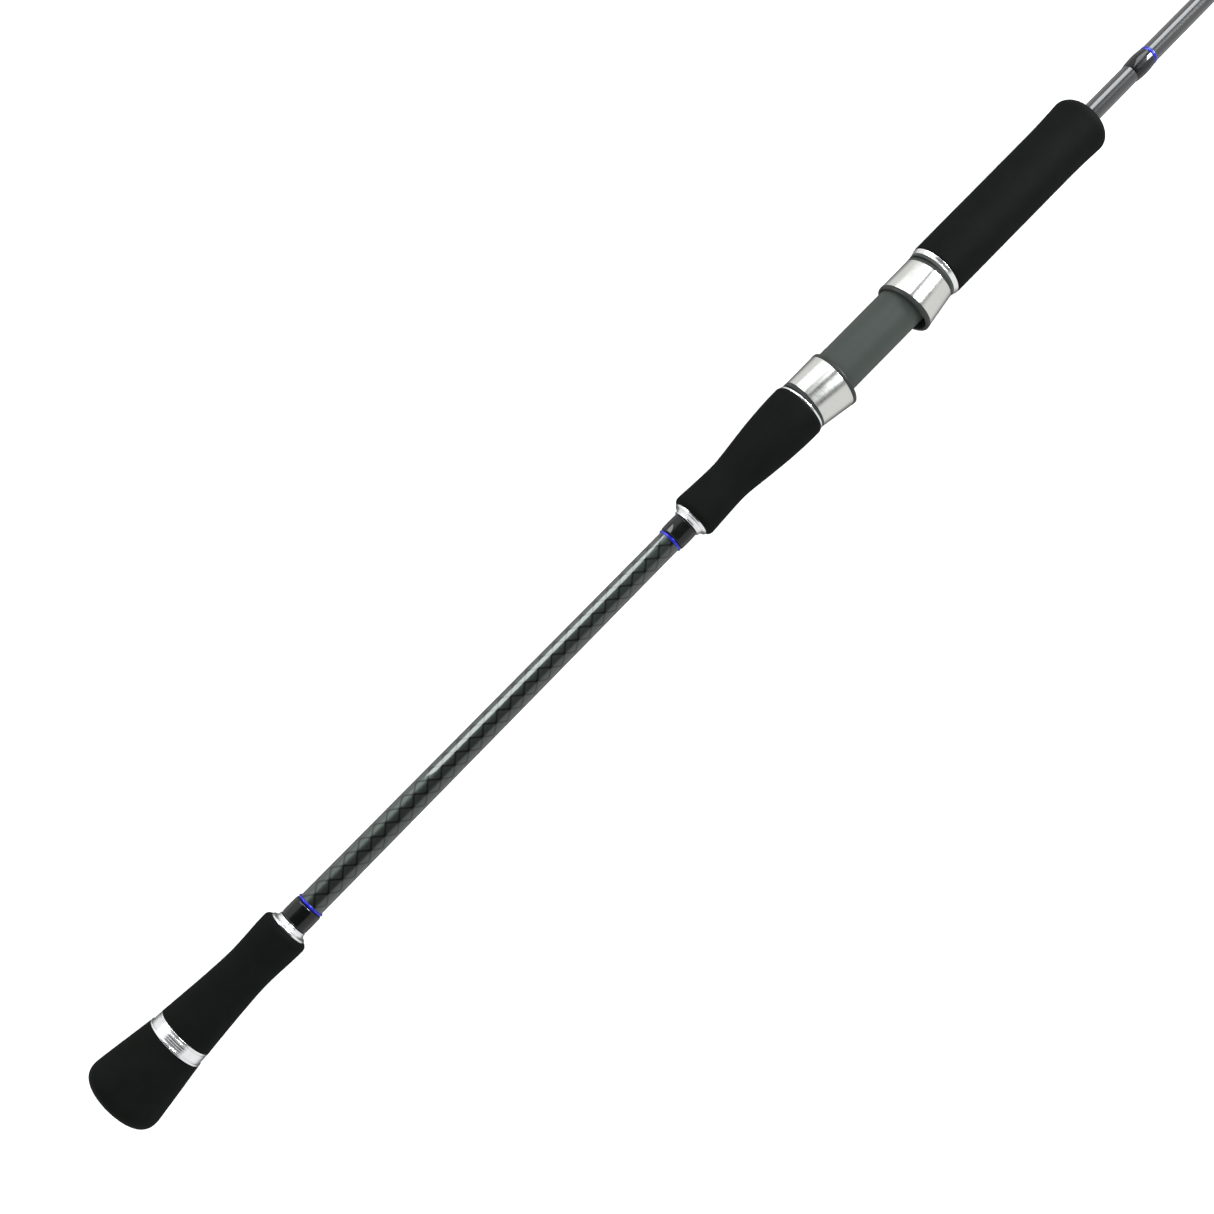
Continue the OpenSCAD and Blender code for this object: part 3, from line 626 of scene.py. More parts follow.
WOVEN_T = 0.345
# Depth to which the blank is let in for the woven layer.
WOVEN_DEPTH = 0.35
BLANK_WALL_BUTT = 1.3
BLANK_WALL_TIP = 0.55


def blank_tube():
    """The tapered tube, let in for the woven layer, with its hollow bore."""
    start, end = span("blank")
    sleeve = span("woven_layer")
    outer = [(x, blank_r(x)) for x in np.linspace(start, sleeve[0], 12)]
    outer += [(x, blank_r(x) - WOVEN_DEPTH) for x in np.linspace(*sleeve, 30)]
    outer += [(x, blank_r(x)) for x in np.linspace(sleeve[1], end, 150)]
    walls = (BLANK_WALL_BUTT, BLANK_WALL_TIP)
    inner = [
        (x, blank_r(x) - np.interp(x, (sleeve[1], end), walls))
        for x in np.linspace(end, start, 60)
    ]
    make_piece("blank_tube", *turned(outer + inner, 64), "blank", CARBON)


def woven_sleeve():
    start, end = span("woven_layer")
    outer = [(x, blank_r(x)) for x in np.linspace(start, end, 60)]
    inner = [(x, blank_r(x) - WOVEN_T) for x in np.linspace(end, start, 30)]
    make_piece("woven_sleeve", *turned(outer + inner, 96), "woven_layer", WOVEN)


blank_tube()
woven_sleeve()


# ---- Metal rings ----


def ring_piece(name, node, profile, inner_r=None, edge=0.18):
    """A turned metal ring from its outside profile; inner_r is its bore, or the blank."""
    start, end = profile[0][0], profile[-1][0]
    if inner_r is None:
        bore = [(end, blank_r(end)), (start, blank_r(start))]
    else:
        bore = [(end, inner_r), (start, inner_r)]
    loop = rounded(list(profile) + bore, edge)
    make_piece(name, *turned(loop, 128), node, POLISHED, crease=60)


def butt_collar():
    """A rear lip, a groove, a turned band with three fine grooves, and a stepped front lip."""
    start, end = span("butt_ring")
    lip_r, groove_r, band_r, front_r = 14.6, 13.9, 14.05, 13.9
    profile = [(start, lip_r - 0.35), (start + 0.35, lip_r), (start + 1.1, lip_r)]
    profile += [(start + 1.3, groove_r), (start + 1.6, groove_r), (start + 1.75, band_r)]
    for i in range(3):
        x = start + 2.3 + 1.05 * i
        r = band_r - 0.04 * i
        profile += [(x, r), (x + 0.22, r - 0.08), (x + 0.44, r)]
    profile += [(end - 1.5, front_r - 0.1), (end - 1.35, front_r - 0.4), (end - 1.1, front_r - 0.4)]
    profile += [(end - 0.95, front_r), (end - 0.3, front_r), (end, front_r - 0.3)]
    ring_piece("butt_collar", "butt_ring", profile, edge=0.09)


def winding_check(name, node, direction):
    """A stepped, tapering check: a flat rim, a hollow shoulder and a narrow nose with a bead."""
    start, end = span(node)
    big = start if direction > 0 else end
    steps = [(0, 9.5), (1.4, 9.5), (1.75, 9.1), (1.95, 8.35), (2.3, 7.9), (2.8, 7.55), (3.15, 7.4)]
    steps += [(3.3, 7.25), (3.45, 7.25), (3.6, 7.42), (3.95, 7.42), (4.2, 7.1)]
    profile = [(big + direction * x, r) for x, r in steps]
    ring_piece(name, node, profile, edge=0.14)


def seat_trim():
    start, end = span("seat_ring")
    profile = [(start, 13.2), (start + 0.3, 13.5), (end - 0.3, 13.5), (end, 13.2)]
    ring_piece("seat_trim_ring", "seat_ring", profile, edge=0.25)


def nut_trim():
    """The flared ring between the nut and the fore grip, with a fine line turned in its narrow end."""
    start, end = span("nut_ring")
    profile = [(start, 13.4), (start + 0.3, 13.68), (start + 0.6, 13.72), (start + 0.7, 13.6)]
    profile += [(start + 0.82, 13.6), (start + 0.9, 13.68), (end - 0.4, 14.2), (end, 13.9)]
    ring_piece("nut_trim_ring", "nut_ring", profile, inner_r=NUT_SLEEVE_R, edge=0.12)


butt_collar()
winding_check("lower_winding_check", "lower_check", 1)
winding_check("rear_winding_check", "rear_check", -1)
seat_trim()
nut_trim()


# ---- Thread wraps and bands ----


# Thickness of the epoxy over each kind of wrap and band, and the length of the ramp at its ends.
HANDLE_WRAP_T = 0.95
HANDLE_WRAP_RAMP = 0.9
HANDLE_BAND_T = 0.7
TIP_WRAP_T = 0.4
TIP_WRAP_RAMP = 1.4
BAND_T = 0.3
BAND_RAMP = 0.5
WRAP_EDGE_T = 0.08
# Points of a wrap's outline on the blank.
WRAP_BORE_POINTS = 4
STOPPER_R = 5.5


def wrap_loop(start, end, height, ramp, crown=0.12):
    """Outline of a wrap under epoxy: a rounded ramp at each end and a slight crown between."""
    outer = []
    for t in np.linspace(0, 1, 49):
        x = start + (end - start) * t
        near = min(x - start, end - x) / ramp
        rise = math.sin(min(near, 1) * math.pi / 2) ** 0.8
        swell = rise * (1 - crown) + crown * math.sin(math.pi * t)
        outer.append((x, blank_r(x) + WRAP_EDGE_T + (height - WRAP_EDGE_T) * swell))
    return outer + [(x, blank_r(x)) for x in np.linspace(end, start, WRAP_BORE_POINTS)]


def wrap_piece(name, node, height, ramp, material):
    start, end = span(node)
    mesh = turned(wrap_loop(start, end, height, ramp), 96)
    make_piece(name, *mesh, node, material, crease=60)


def stopper():
    """The bulging wrap ahead of the fore grip."""
    start, end = span("stopper_wrap")
    outer = []
    for t in np.linspace(0, 1, 49):
        x = start + (end - start) * t
        low = blank_r(x) + 0.1
        outer.append((x, low + (STOPPER_R - low) * math.sin(math.pi * t) ** 0.7))
    loop = outer + [(end, blank_r(end)), (start, blank_r(start))]
    make_piece("stopper_epoxy", *turned(loop, 96), "stopper_wrap", BLACK_THREAD, crease=60)


for end_name in ("lower", "rear"):
    wrap_piece(end_name + "_thread", end_name + "_wrap", HANDLE_WRAP_T, HANDLE_WRAP_RAMP, BLACK_THREAD)
for end_name in ("lower", "rear"):
    wrap_piece(end_name + "_blue_thread", end_name + "_band", HANDLE_BAND_T, BAND_RAMP, BLUE_THREAD)
stopper()
wrap_piece("stopper_blue_thread", "stopper_band", BAND_T, BAND_RAMP, BLUE_THREAD)
wrap_piece("tip_thread", "tip_wrap", TIP_WRAP_T, TIP_WRAP_RAMP, BLACK_THREAD)
wrap_piece("tip_blue_thread", "tip_band", BAND_T, BAND_RAMP, BLUE_THREAD)


# ---- Reel seat ----

SEAT_R = 11.5
SEAT_BORE_R = 9.0
ARBOR_WIDTH = 12
# From the first arbor's back end to the middle one's.
MIDDLE_ARBOR = 50
KEYWAY_HALF = 1.62
KEYWAY_DEPTH = 0.9
# The keyway starts 470 mm from the butt, and the frame's origin is 486.85 mm from it.
KEYWAY_START = 470 - 486.85
SCREW_CREST_R = 11.4
THREAD_DEPTH = 0.8
SEAT_THREAD_PITCH = 3.0
NUT_FLANGE_T = 1.5
NUT_FLANGE_R = 13.35
NUT_CLEAR_R = 11.75
# Where the nut's own thread starts from its flange, how long it is, and its gap to the seat's.
NUT_THREAD_START = 9.2
NUT_THREAD_LENGTH = 9.0
NUT_THREAD_GAP = 0.3


def thread_wave(x, start, a):
    """How far a right-hand thread from that start lies below its crest, as a negative number."""
    return THREAD_DEPTH / 2 * (np.cos(TAU * (x - start) / SEAT_THREAD_PITCH - a) - 1)


def keyway(x, r, a):
    """Cuts the keyway into the seat's outside, on the side away from the reel."""
    across = r * np.sin(a)
    inside = (np.cos(a) > 0) & (np.abs(across) < KEYWAY_HALF) & (x >= KEYWAY_START) & (r > SEAT_BORE_R + 0.5)
    floor = SEAT_R - KEYWAY_DEPTH
    return np.where(inside, np.minimum(r, floor / np.maximum(np.cos(a), 0.1)) - r, 0)


def seat_tube():
    start, end = span("seat_body")
    near = [KEYWAY_START - 0.02, KEYWAY_START]
    outer = [(start, SEAT_R)] + [(x, SEAT_R) for x in near] + [(end, SEAT_R)]
    loop = outer + [(end, SEAT_BORE_R), (start, SEAT_BORE_R)]
    make_piece("seat_tube", *turned(loop, 360, keyway), "seat_body", SEAT_GREY)


def seat_screw():
    """The seat's rounded right-hand thread, with the keyway along it."""
    start, end = span("seat_thread")

    def thread(x, r, a):
        cut = np.where(r > SEAT_BORE_R + 0.5, thread_wave(x, start, a), 0)
        return cut + keyway(x, r + cut, a)

    outer = [(x, SCREW_CREST_R) for x in np.linspace(start, end, 181)]
    loop = outer + [(end, SEAT_BORE_R), (start, SEAT_BORE_R)]
    make_piece("seat_screw", *turned(loop, 180, thread), "seat_thread", SEAT_GREY)


def arbors():
    """Three rings that centre the seat on the blank."""
    start, end = span("seat_arbors")
    parts = []
    for x in (start, start + MIDDLE_ARBOR, end - ARBOR_WIDTH):
        far = x + ARBOR_WIDTH
        loop = [(x, SEAT_BORE_R), (far, SEAT_BORE_R), (far, blank_r(far)), (x, blank_r(x))]
        parts.append(turned(rounded(loop, 0.3), 64))
    make_piece("seat_centring_rings", *joined(*parts), "seat_arbors", ARBOR)


def lock_nut():
    """A flange with a rounded rim, and the sleeve that reaches into the fore grip."""
    start, end = span("lock_nut")
    flange_end = start + NUT_FLANGE_T
    outside = [(start, NUT_FLANGE_R - 0.35), (start + 0.3, NUT_FLANGE_R), (flange_end - 0.25, NUT_FLANGE_R)]
    outside += [(flange_end, NUT_FLANGE_R - 0.25), (flange_end, NUT_SLEEVE_R)]
    outside += [(end - 0.4, NUT_SLEEVE_R), (end, NUT_SLEEVE_R - 0.4)]
    seat_start, _ = span("seat_thread")
    low = start + NUT_THREAD_START
    high = low + NUT_THREAD_LENGTH
    crest = SCREW_CREST_R + NUT_THREAD_GAP
    inside = [(end, NUT_CLEAR_R), (high + 0.1, NUT_CLEAR_R)]
    inside += [(x, crest) for x in np.linspace(high, low, 37)]
    inside += [(low - 0.1, NUT_CLEAR_R), (start, NUT_CLEAR_R)]

    def thread(x, r, a):
        on_thread = (x >= low) & (x <= high) & (r < NUT_CLEAR_R)
        return np.where(on_thread, thread_wave(x, seat_start, a), 0)

    make_piece("lock_nut_moulding", *turned(outside + inside, 144, thread), "lock_nut", SEAT_GREY)


seat_tube()
seat_screw()
arbors()
lock_nut()


# ---- Hoods ----

SHELL_LENGTH = 17.5
LIP_LENGTH = 2.2
HOOD_BACK_R = 13.3
HOOD_MOUTH_R = 14.7
SHELL_T = 0.7
LINER_T = 0.9
HOOD_BACK_Y = 0.2
HOOD_SLOPE = (HOOD_MOUTH_R - HOOD_BACK_R) / SHELL_LENGTH
HOOD_LEAN = math.atan(HOOD_SLOPE)
LIP_R = HOOD_MOUTH_R + 0.15
LIP_ROUNDING = 0.8
POCKET_START = 3.0
POCKET_HALF = 9.0
POCKET_RIBS = 11
RIB_HEIGHT = 0.4
LINING_SEGMENTS = 288


def hood_back(side):
    """Station of a hood's closed end, from its steel shell's box; side is rear or front."""
    start, end = span(side + "_hood_shell")
    reach = HOOD_BACK_R * math.sin(HOOD_LEAN)
    return start + reach if side == "rear" else end - reach


def hood_r(x, depth=0.0):
    return HOOD_BACK_R + HOOD_SLOPE * x - depth


def hood_steel(side):
    """A conical steel shell with rounded edges, leaning towards the reel."""
    outer = [(0, hood_r(0)), (SHELL_LENGTH, hood_r(SHELL_LENGTH))]
    loop = rounded(outer + [(x, r - SHELL_T) for x, r in reversed(outer)], 0.22, 5)
    place = Matrix.Translation((0, -HOOD_BACK_Y, 0)) @ Matrix.Rotation(-HOOD_LEAN, 4, "Z")
    if side == "front":
        place = Matrix.Scale(-1, 4, (1, 0, 0)) @ place
    place = Matrix.Translation((hood_back(side), 0, 0)) @ place
    make_piece(side + "_hood_steel", *turned(loop, 160, place=place), side + "_hood_shell", BRUSHED)


def cone_edge(x, radius, angles):
    """How far a circle about a hood's leaning axis is from the rod's axis at each angle."""
    offset = x * math.tan(HOOD_LEAN) + HOOD_BACK_Y / math.cos(HOOD_LEAN)
    lean_cos = np.cos(angles) / math.cos(HOOD_LEAN)
    a = lean_cos**2 + np.sin(angles) ** 2
    b = 2 * lean_cos * offset
    c = offset**2 - radius**2
    return (np.sqrt(b * b - 4 * a * c) - b) / (2 * a)


def cavity_edge(x, bore_r, angles, widened=0.0):
    """A liner's inside: the seat's bore, and the ribbed pocket for the reel's foot beside it."""
    if x < POCKET_START:
        return np.full(len(angles), bore_r)
    walls = POCKET_HALF / np.maximum(np.abs(np.sin(angles)), 0.01)
    pocket = np.minimum(cone_edge(x, hood_r(x, SHELL_T + LINER_T), angles), walls)
    across = pocket * np.sin(angles) / POCKET_HALF
    ribs = np.clip(np.cos(across * math.pi * POCKET_RIBS / 2) * 4 - 2.6, 0, 1) * RIB_HEIGHT
    pocket = np.where(np.cos(angles) < 0, pocket - ribs * (np.abs(across) < 0.98), 0)
    return np.maximum(pocket, bore_r) + widened


def hood_liner(side, bore_r):
    """The plastic inside a hood: the collar behind the steel, the lining, the pocket and the lip."""
    node = side + "_hood_liner"
    back = hood_back(side)
    start, end = span(node)
    direction, collar = (1, back - start) if side == "rear" else (-1, end - back)
    mouth = SHELL_LENGTH + LIP_LENGTH
    outside = [(-collar, HOOD_BACK_R - 0.25), (0.25 - collar, HOOD_BACK_R), (-0.12, HOOD_BACK_R)]
    outside += [(0, HOOD_BACK_R - 0.12)]
    outside += [(x, hood_r(x, SHELL_T)) for x in (0, SHELL_LENGTH)]
    outside += [(SHELL_LENGTH, LIP_R - 0.2), (SHELL_LENGTH + 0.2, LIP_R)]
    for a in np.linspace(0, math.pi / 2, 7):
        outside.append((mouth - LIP_ROUNDING * (1 - math.sin(a)), LIP_R - LIP_ROUNDING * (1 - math.cos(a))))
    angles = np.arange(LINING_SEGMENTS) * TAU / LINING_SEGMENTS
    edges = [(x, cone_edge(x, r, angles)) for x, r in outside]
    edges.append((mouth, cavity_edge(mouth, bore_r, angles, 0.35)))
    edges.append((mouth - 0.1, cavity_edge(mouth, bore_r, angles, 0.1)))
    edges += [(x, cavity_edge(x, bore_r, angles)) for x in np.linspace(mouth - 0.35, POCKET_START, 9)]
    edges += [(x, cavity_edge(0, bore_r, angles)) for x in (POCKET_START, -collar)]
    rings = []
    for x, r in edges:
        y, z = r * np.cos(angles), r * np.sin(angles)
        station = (x + (y + HOOD_BACK_Y) * math.sin(HOOD_LEAN)) / math.cos(HOOD_LEAN)
        rings.append(np.stack([back + direction * np.maximum(station, -collar), y, z], -1))
    mesh = np.vstack(rings), ring_faces(len(rings), LINING_SEGMENTS, True)
    if side == "front":
        mesh = joined(mesh, hood_key(back - mouth + 4, end))
    make_piece(node + "_moulding", *mesh, node, DARK_NYLON, crease=30)


def hood_key(start, end):
    """The bar inside the front hood that runs in the seat's keyway."""
    low, high, half = SEAT_R - KEYWAY_DEPTH + 0.12, SEAT_R + 0.6, 1.5
    section = rounded([(low, -half), (high, -half), (high, half), (low, half)], 0.2)
    return lofted([np.array([(x, y, z) for y, z in section]) for x in (start, end)])


hood_steel("rear")
hood_steel("front")
hood_liner("rear", SEAT_R)
hood_liner("front", SEAT_R + 0.08)


# ---- Guides ----

GUIDES = 7
WIRE_R = 0.75
FOOT_T = 0.8
HOLDER_T = 0.8
RING_WALL = 1.35
EPOXY_T = 0.35
# How far a wrap starts from the end of the foot at the legs, and how far it goes past the other.
WRAP_START = 2.2
WRAP_PAST = 4.0
# A foot's length and width grow with its ring's size, and its half angle stops at the widest.
FOOT_LENGTH_BASE = 6
FOOT_LENGTH_GROWTH = 0.36
FOOT_WIDTH_BASE = 1.6
FOOT_WIDTH_GROWTH = 0.05
FOOT_WIDTH_TO_ANGLE = 56
FOOT_WIDEST = 55
# Where the legs meet the ring, as angles from the side of the ring nearest the blank.
BUTT_LEG_ANGLE = 62
TIP_LEG_ANGLE = 30


def ring_centre(node):
    """Station, distance from the rod's axis and size of a ceramic ring."""
    low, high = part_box(node)
    centre = (low + high) / 2 / MM
    return centre.x, -centre.y, (high.z - low.z) / MM


def ceramic_ring(name, node):
    """A ceramic ring, flat outside and well rounded inside."""
    x, height, size = ring_centre(node)
    outer_r, half = size / 2, 1.3 + 0.012 * size
    inner_r = outer_r - RING_WALL
    section = rounded([(-half, outer_r), (half, outer_r), (half, inner_r), (-half, inner_r)], 0.6, 6)
    mesh = turned(section, 96, place=Matrix.Translation((x, -height, 0)))
    make_piece(name, *mesh, node, CERAMIC, crease=60)


def ring_holder(x, height, size, width):
    """The rolled steel rim round a ceramic ring."""
    inner_r, half = size / 2, width / 2
    outer_r = inner_r + HOLDER_T
    section = rounded([(-half, outer_r), (half, outer_r), (half, inner_r), (-half, inner_r)], 0.28, 5)
    return turned(section, 96, place=Matrix.Translation((x, -height, 0)))


def leg_wire(size):
    """Radius of a leg's wire, thinner on the smaller guides."""
    return WIRE_R * (0.75 + 0.01 * size)


def holder_width(size):
    """Width along the rod of the rim round a ring."""
    return 1.8 + 0.02 * size


def foot_length(size):
    return FOOT_LENGTH_BASE + FOOT_LENGTH_GROWTH * size


def foot_half_angle(x, size):
    """Half the angle that a foot takes up round the blank, in radians."""
    width = FOOT_WIDTH_BASE + FOOT_WIDTH_GROWTH * size
    return math.radians(min(FOOT_WIDEST, FOOT_WIDTH_TO_ANGLE * width / (math.pi * blank_r(x))))


def foot_height(t):
    """Thickness of a foot at a share of its length from the legs."""
    return FOOT_T * (1 - 0.55 * np.clip(t, 0, 1))


def foot_plate(near, direction, size, half_angle):
    """A curved plate on the blank, thinned and rounded off towards its free end."""
    across = np.linspace(-1, 1, 13)
    rings = []
    for t in 1 - np.linspace(1, 0, 15) ** 2:
        x = near + direction * foot_length(size) * t
        angles = math.pi + half_angle * across * math.sqrt(1 - 0.9 * t**6)
        outer_r = blank_r(x) + foot_height(t) * (1 - 0.7 * np.abs(across) ** 4)
        inner_r = np.full(len(across), blank_r(x))
        angles = np.concatenate([angles, angles[::-1]])
        radii = np.concatenate([outer_r, inner_r[::-1]])
        rings.append(np.stack([np.full(len(radii), x), radii * np.cos(angles), radii * np.sin(angles)], -1))
    return lofted(rings)


def guide_leg(near, direction, x, height, size, wire, side):
    """A leg that leaves its foot along the blank and bends up to the ring's rim."""
    angle = math.radians(BUTT_LEG_ANGLE if direction < 0 else TIP_LEG_ANGLE)
    rim_r = size / 2 + HOLDER_T / 2
    foot = np.array([near + direction * 1.2, -blank_r(near) - 0.55 * FOOT_T, side * wire * 0.5])
    rim = np.array([x, rim_r * math.cos(angle) - height, side * rim_r * math.sin(angle)])
    heel = foot + (direction * 1.6, 0.12, 0)
    knee = foot + (rim - foot) * 0.16 + (0, 0.25, 0)
    middle = foot + (rim - foot) * 0.55 + (0, 0.12, 0)
    return swept(smooth_path([heel, foot, knee, middle, rim], 7), wire, 0.72)


def foot_ends(i, size):
    """Station of each foot's end at the legs, with the direction that it points in."""
    start, end = span(f"guide_{i}_wraps")
    return [(start + foot_length(size) + WRAP_PAST, -1), (end - foot_length(size) - WRAP_PAST, 1)]


def guide_frame(i):
    """One guide's steel: the rim round its ring, two feet and two legs to each."""
    node = f"guide_{i}_frame"
    x, height, size = ring_centre(f"guide_{i}_ring")
    wire = leg_wire(size)
    half_angle = foot_half_angle(x, size)
    parts = [ring_holder(x, height, size, holder_width(size))]
    for near, direction in foot_ends(i, size):
        parts.append(foot_plate(near, direction, size, half_angle))
        parts += [guide_leg(near, direction, x, height, size, wire, side) for side in (-1, 1)]
    make_piece(node + "_pressing", *joined(*parts), node, FRAME_STEEL, crease=50)


def foot_wrap(near, direction, size, half_angle):
    """Thread and epoxy round the blank and over a foot, which shows as a long bulge."""
    starts = near + direction * WRAP_START
    ends = near + direction * (foot_length(size) + WRAP_PAST)
    start, end = min(starts, ends), max(starts, ends)

    def over_foot(x, r, a):
        t = direction * (x - near) / foot_length(size)
        height = foot_height(t) * np.clip((1.12 - t) / 0.12, 0, 1)
        away = np.abs(a - math.pi) / half_angle
        outside = r > np.vectorize(blank_r)(x) + 0.02
        slope = np.where(outside, np.exp(-((away / 1.25) ** 4)), np.clip((1.25 - away) / 0.2, 0, 1))
        return height * slope

    outer = wrap_loop(start, end, EPOXY_T, 1.2, crown=0.2)[:-WRAP_BORE_POINTS]
    inner = [(x, blank_r(x)) for x in np.linspace(end, start, 16)]
    return turned(outer + inner, 96, over_foot)


def guide_wraps(i):
    node = f"guide_{i}_wraps"
    x, _, size = ring_centre(f"guide_{i}_ring")
    half_angle = foot_half_angle(x, size)
    parts = [foot_wrap(near, direction, size, half_angle) for near, direction in foot_ends(i, size)]
    make_piece(node + "_thread", *joined(*parts), node, BLACK_THREAD, crease=60)


def guide_bands(i):
    node = f"guide_{i}_bands"
    start, end = span(node)
    band_start, band_end = span("lower_band")
    length = band_end - band_start
    loops = [wrap_loop(x, x + length, BAND_T, BAND_RAMP) for x in (start, end - length)]
    mesh = joined(*[turned(loop, 64) for loop in loops])
    make_piece(node + "_thread", *mesh, node, BLUE_THREAD, crease=60)


for number in range(1, GUIDES + 1):
    guide_frame(number)
    ceramic_ring(f"guide_{number}_ceramic", f"guide_{number}_ring")
    guide_wraps(number)
    guide_bands(number)


# ---- Tip-top ----

TIP_TUBE_LENGTH = 14.2
TIP_TUBE_BORE = 13.0
TIP_HOLDER_W = 1.8
TIP_BAR_R = 0.55


def tip_frame():
    """The tube over the blank's end, the ring's rim, two side bars and a short bar under the ring."""
    start, _ = span("tip_frame")
    x, height, size = ring_centre("tip_ring")
    bore_end, end = start + TIP_TUBE_BORE, start + TIP_TUBE_LENGTH
    tube_r = blank_r(start) + 0.45
    tube = [(bore_end, blank_r(bore_end)), (start, blank_r(start))]
    tube += [(start, tube_r - 0.15), (start + 0.15, tube_r), (end - 0.5, tube_r)]
    tube += [(end - 0.25, tube_r - 0.08), (end - 0.08, tube_r - 0.25), (end, tube_r - 0.5)]
    parts = [turned(tube, 48, closed=False), ring_holder(x, height, size, TIP_HOLDER_W)]
    for side in (-1, 1):
        foot = np.array([start + 2, 0.2 - tube_r, side * 0.6])
        rim = np.array([x, 2 - height, side * (size / 2 - 0.2)])
        bend = foot + (rim - foot) * 0.45 + (0, 0.35, -side * 0.25)
        parts.append(swept(smooth_path([foot, bend, rim], 10), TIP_BAR_R, 0.9))
    under = [(bore_end, -1, 0), (x, size / 2 + 0.4 - height, 0)]
    parts.append(swept(smooth_path(under, 4), TIP_BAR_R + 0.15))
    make_piece("tip_frame_pressing", *joined(*parts), "tip_frame", FRAME_STEEL, crease=50)


tip_frame()
ceramic_ring("tip_ceramic", "tip_ring")


# ---- Camera, floor and light ----

# The picture's side in pixels, and the lens's focal length in them.
FRAME_SIDE = 1214
FOCAL = 1575
CAMERA_PLACE = Vector((-0.26415, -0.0008, 0.72))
# Tilt of the camera towards the tip, and the rod's slope across the picture.
CAMERA_TILT = math.radians(6.88)
ROD_SLOPE = math.atan2(0.71230, 0.70188)
FLOOR_GLOW = 0.35
LIGHT_COLOUR = (0.94, 0.97, 1.0)
# Brightness of the surroundings to the sides of the rod, overhead, and straight below.
WALLS = 1.0
CEILING = 0.06
BELOW = 0.15


def camera():
    data = bpy.data.cameras.new("camera")
    data.sensor_fit = "HORIZONTAL"
    data.angle = 2 * math.atan(FRAME_SIDE / 2 / FOCAL)
    data.clip_start = 0.01
    data.clip_end = 50
    made = bpy.data.objects.new("camera", data)
    along = Vector((math.cos(CAMERA_TILT), 0, math.sin(CAMERA_TILT)))
    reel_side = Vector((0, -1, 0))
    right = math.cos(ROD_SLOPE) * along + math.sin(ROD_SLOPE) * reel_side
    up = math.sin(ROD_SLOPE) * along - math.cos(ROD_SLOPE) * reel_side
    back = right.cross(up)
    turn = Matrix((right, up, back)).transposed()
    made.matrix_world = Matrix.Translation(CAMERA_PLACE) @ turn.to_4x4()
    bpy.context.scene.collection.objects.link(made)
    bpy.context.scene.camera = made


def floor():
    """A plain pale surface that the rod lies on, faintly lit from below like a light table."""
    half = 30
    mesh = bpy.data.meshes.new("floor")
    corners = [(-half, -half, 0), (half, -half, 0), (half, half, 0), (-half, half, 0)]
    mesh.from_pydata(corners, [], [(0, 1, 2, 3)])
    made = bpy.data.objects.new("floor", mesh)
    made.location.z = cad_low.z
    made.visible_glossy = False
    s = Shader("floor", Roughness=0.8, Specular_IOR_Level=0.1, Emission_Strength=FLOOR_GLOW)
    s.surface.inputs["Emission Color"].default_value = (1, 1, 1, 1)
    s.drive("Base Color", s.mixed(s.noise(900, 2), (0.90, 0.90, 0.90), (0.93, 0.93, 0.93)))
    mesh.materials.append(s.material)
    bpy.context.scene.collection.objects.link(made)


def area_light(name, place, target, size, radiance, diffuse=True, glossy=True):
    """A rectangular light of (width, height) that faces its target, for diffuse or glossy light."""
    data = bpy.data.lights.new(name, "AREA")
    data.shape = "RECTANGLE"
    data.size, data.size_y = size
    data.energy = radiance * math.pi * size[0] * size[1]
    data.color = LIGHT_COLOUR
    made = bpy.data.objects.new(name, data)
    facing = (Vector(target) - Vector(place)).to_track_quat("-Z", "Y").to_matrix().to_4x4()
    made.matrix_world = Matrix.Translation(place) @ facing
    made.visible_camera = False
    made.visible_diffuse = diffuse
    made.visible_glossy = glossy
    bpy.context.scene.collection.objects.link(made)


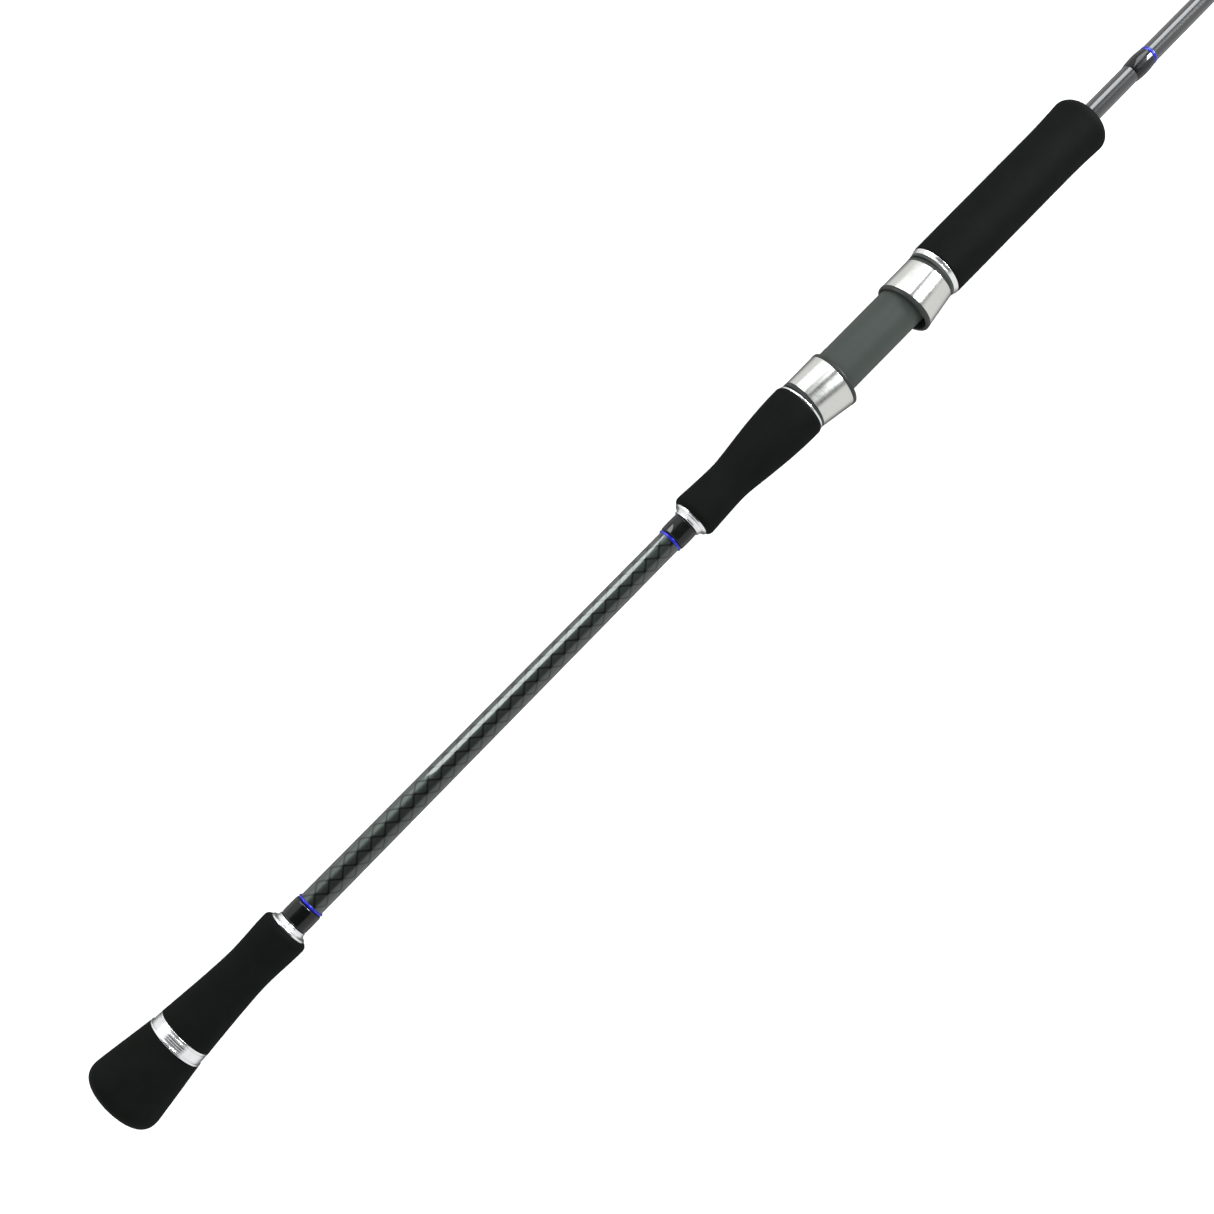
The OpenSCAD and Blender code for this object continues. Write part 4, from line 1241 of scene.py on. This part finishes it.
def surroundings():
    """White at the rod's sides and both ends, and dark above and straight below it."""
    world = bpy.data.worlds.new("studio")
    world.use_nodes = True
    tree = world.node_tree
    place = tree.nodes.new("ShaderNodeTexCoord")
    across = tree.nodes.new("ShaderNodeVectorMath")
    across.operation = "MULTIPLY"
    across.inputs[1].default_value = (0, 1, 1)
    unit = tree.nodes.new("ShaderNodeVectorMath")
    unit.operation = "NORMALIZE"
    split = tree.nodes.new("ShaderNodeSeparateXYZ")
    lengthwise = tree.nodes.new("ShaderNodeSeparateXYZ")
    tree.links.new(place.outputs["Generated"], across.inputs[0])
    tree.links.new(across.outputs[0], unit.inputs[0])
    tree.links.new(unit.outputs[0], split.inputs[0])
    tree.links.new(place.outputs["Generated"], lengthwise.inputs[0])

    def fade(socket, near, far, from_value, to_value):
        """From one value to another between two angles from the axis that the socket measures."""
        made = tree.nodes.new("ShaderNodeMapRange")
        made.interpolation_type = "SMOOTHSTEP"
        tree.links.new(socket, made.inputs["Value"])
        limits = (math.cos(math.radians(far)), math.cos(math.radians(near)), to_value, from_value)
        for key, value in zip(("From Min", "From Max", "To Min", "To Max"), limits):
            made.inputs[key].default_value = value
        return made.outputs["Result"]

    def combined(operation, first, second):
        made = tree.nodes.new("ShaderNodeMath")
        made.operation = operation
        tree.links.new(first, made.inputs[0])
        tree.links.new(second, made.inputs[1])
        return made.outputs[0]

    sides = fade(split.outputs[2], 34, 52, CEILING, WALLS)
    ground = fade(split.outputs[2], 118, 158, 1, BELOW)
    tip_end = fade(lengthwise.outputs[0], 36, 46, WALLS, 0)
    butt_end = fade(lengthwise.outputs[0], 110, 125, 0, WALLS)
    ends = combined("MAXIMUM", tip_end, butt_end)
    strength = combined("MAXIMUM", ends, combined("MULTIPLY", sides, ground))
    tree.links.new(strength, tree.nodes["Background"].inputs["Strength"])
    tree.nodes["Background"].inputs["Color"].default_value = (1, 1, 1, 1)
    bpy.context.scene.world = world


camera()
floor()
surroundings()
# The key light gives the diffuse light, and the three boxes are seen only in reflections.
area_light("key", (0.3, 0.0, 1.6), (0.3, 0, 0), (3.6, 3.0), 1.9, glossy=False)
area_light("butt_side_box", (-0.14, 0.9, 0.57), (-0.14, 0, 0.57), (0.36, 0.86), 9.0, diffuse=False)
area_light("tip_side_box", (1.38, 0.9, 1.4), (1.38, 0, 1.4), (1.2, 1.9), 6.3, diffuse=False)
area_light("end_box", (1.25, -0.22, 0.85), (0, 0, 0), (0.6, 0.46), 65.0, diffuse=False)

bpy.context.scene.view_settings.view_transform = "Standard"
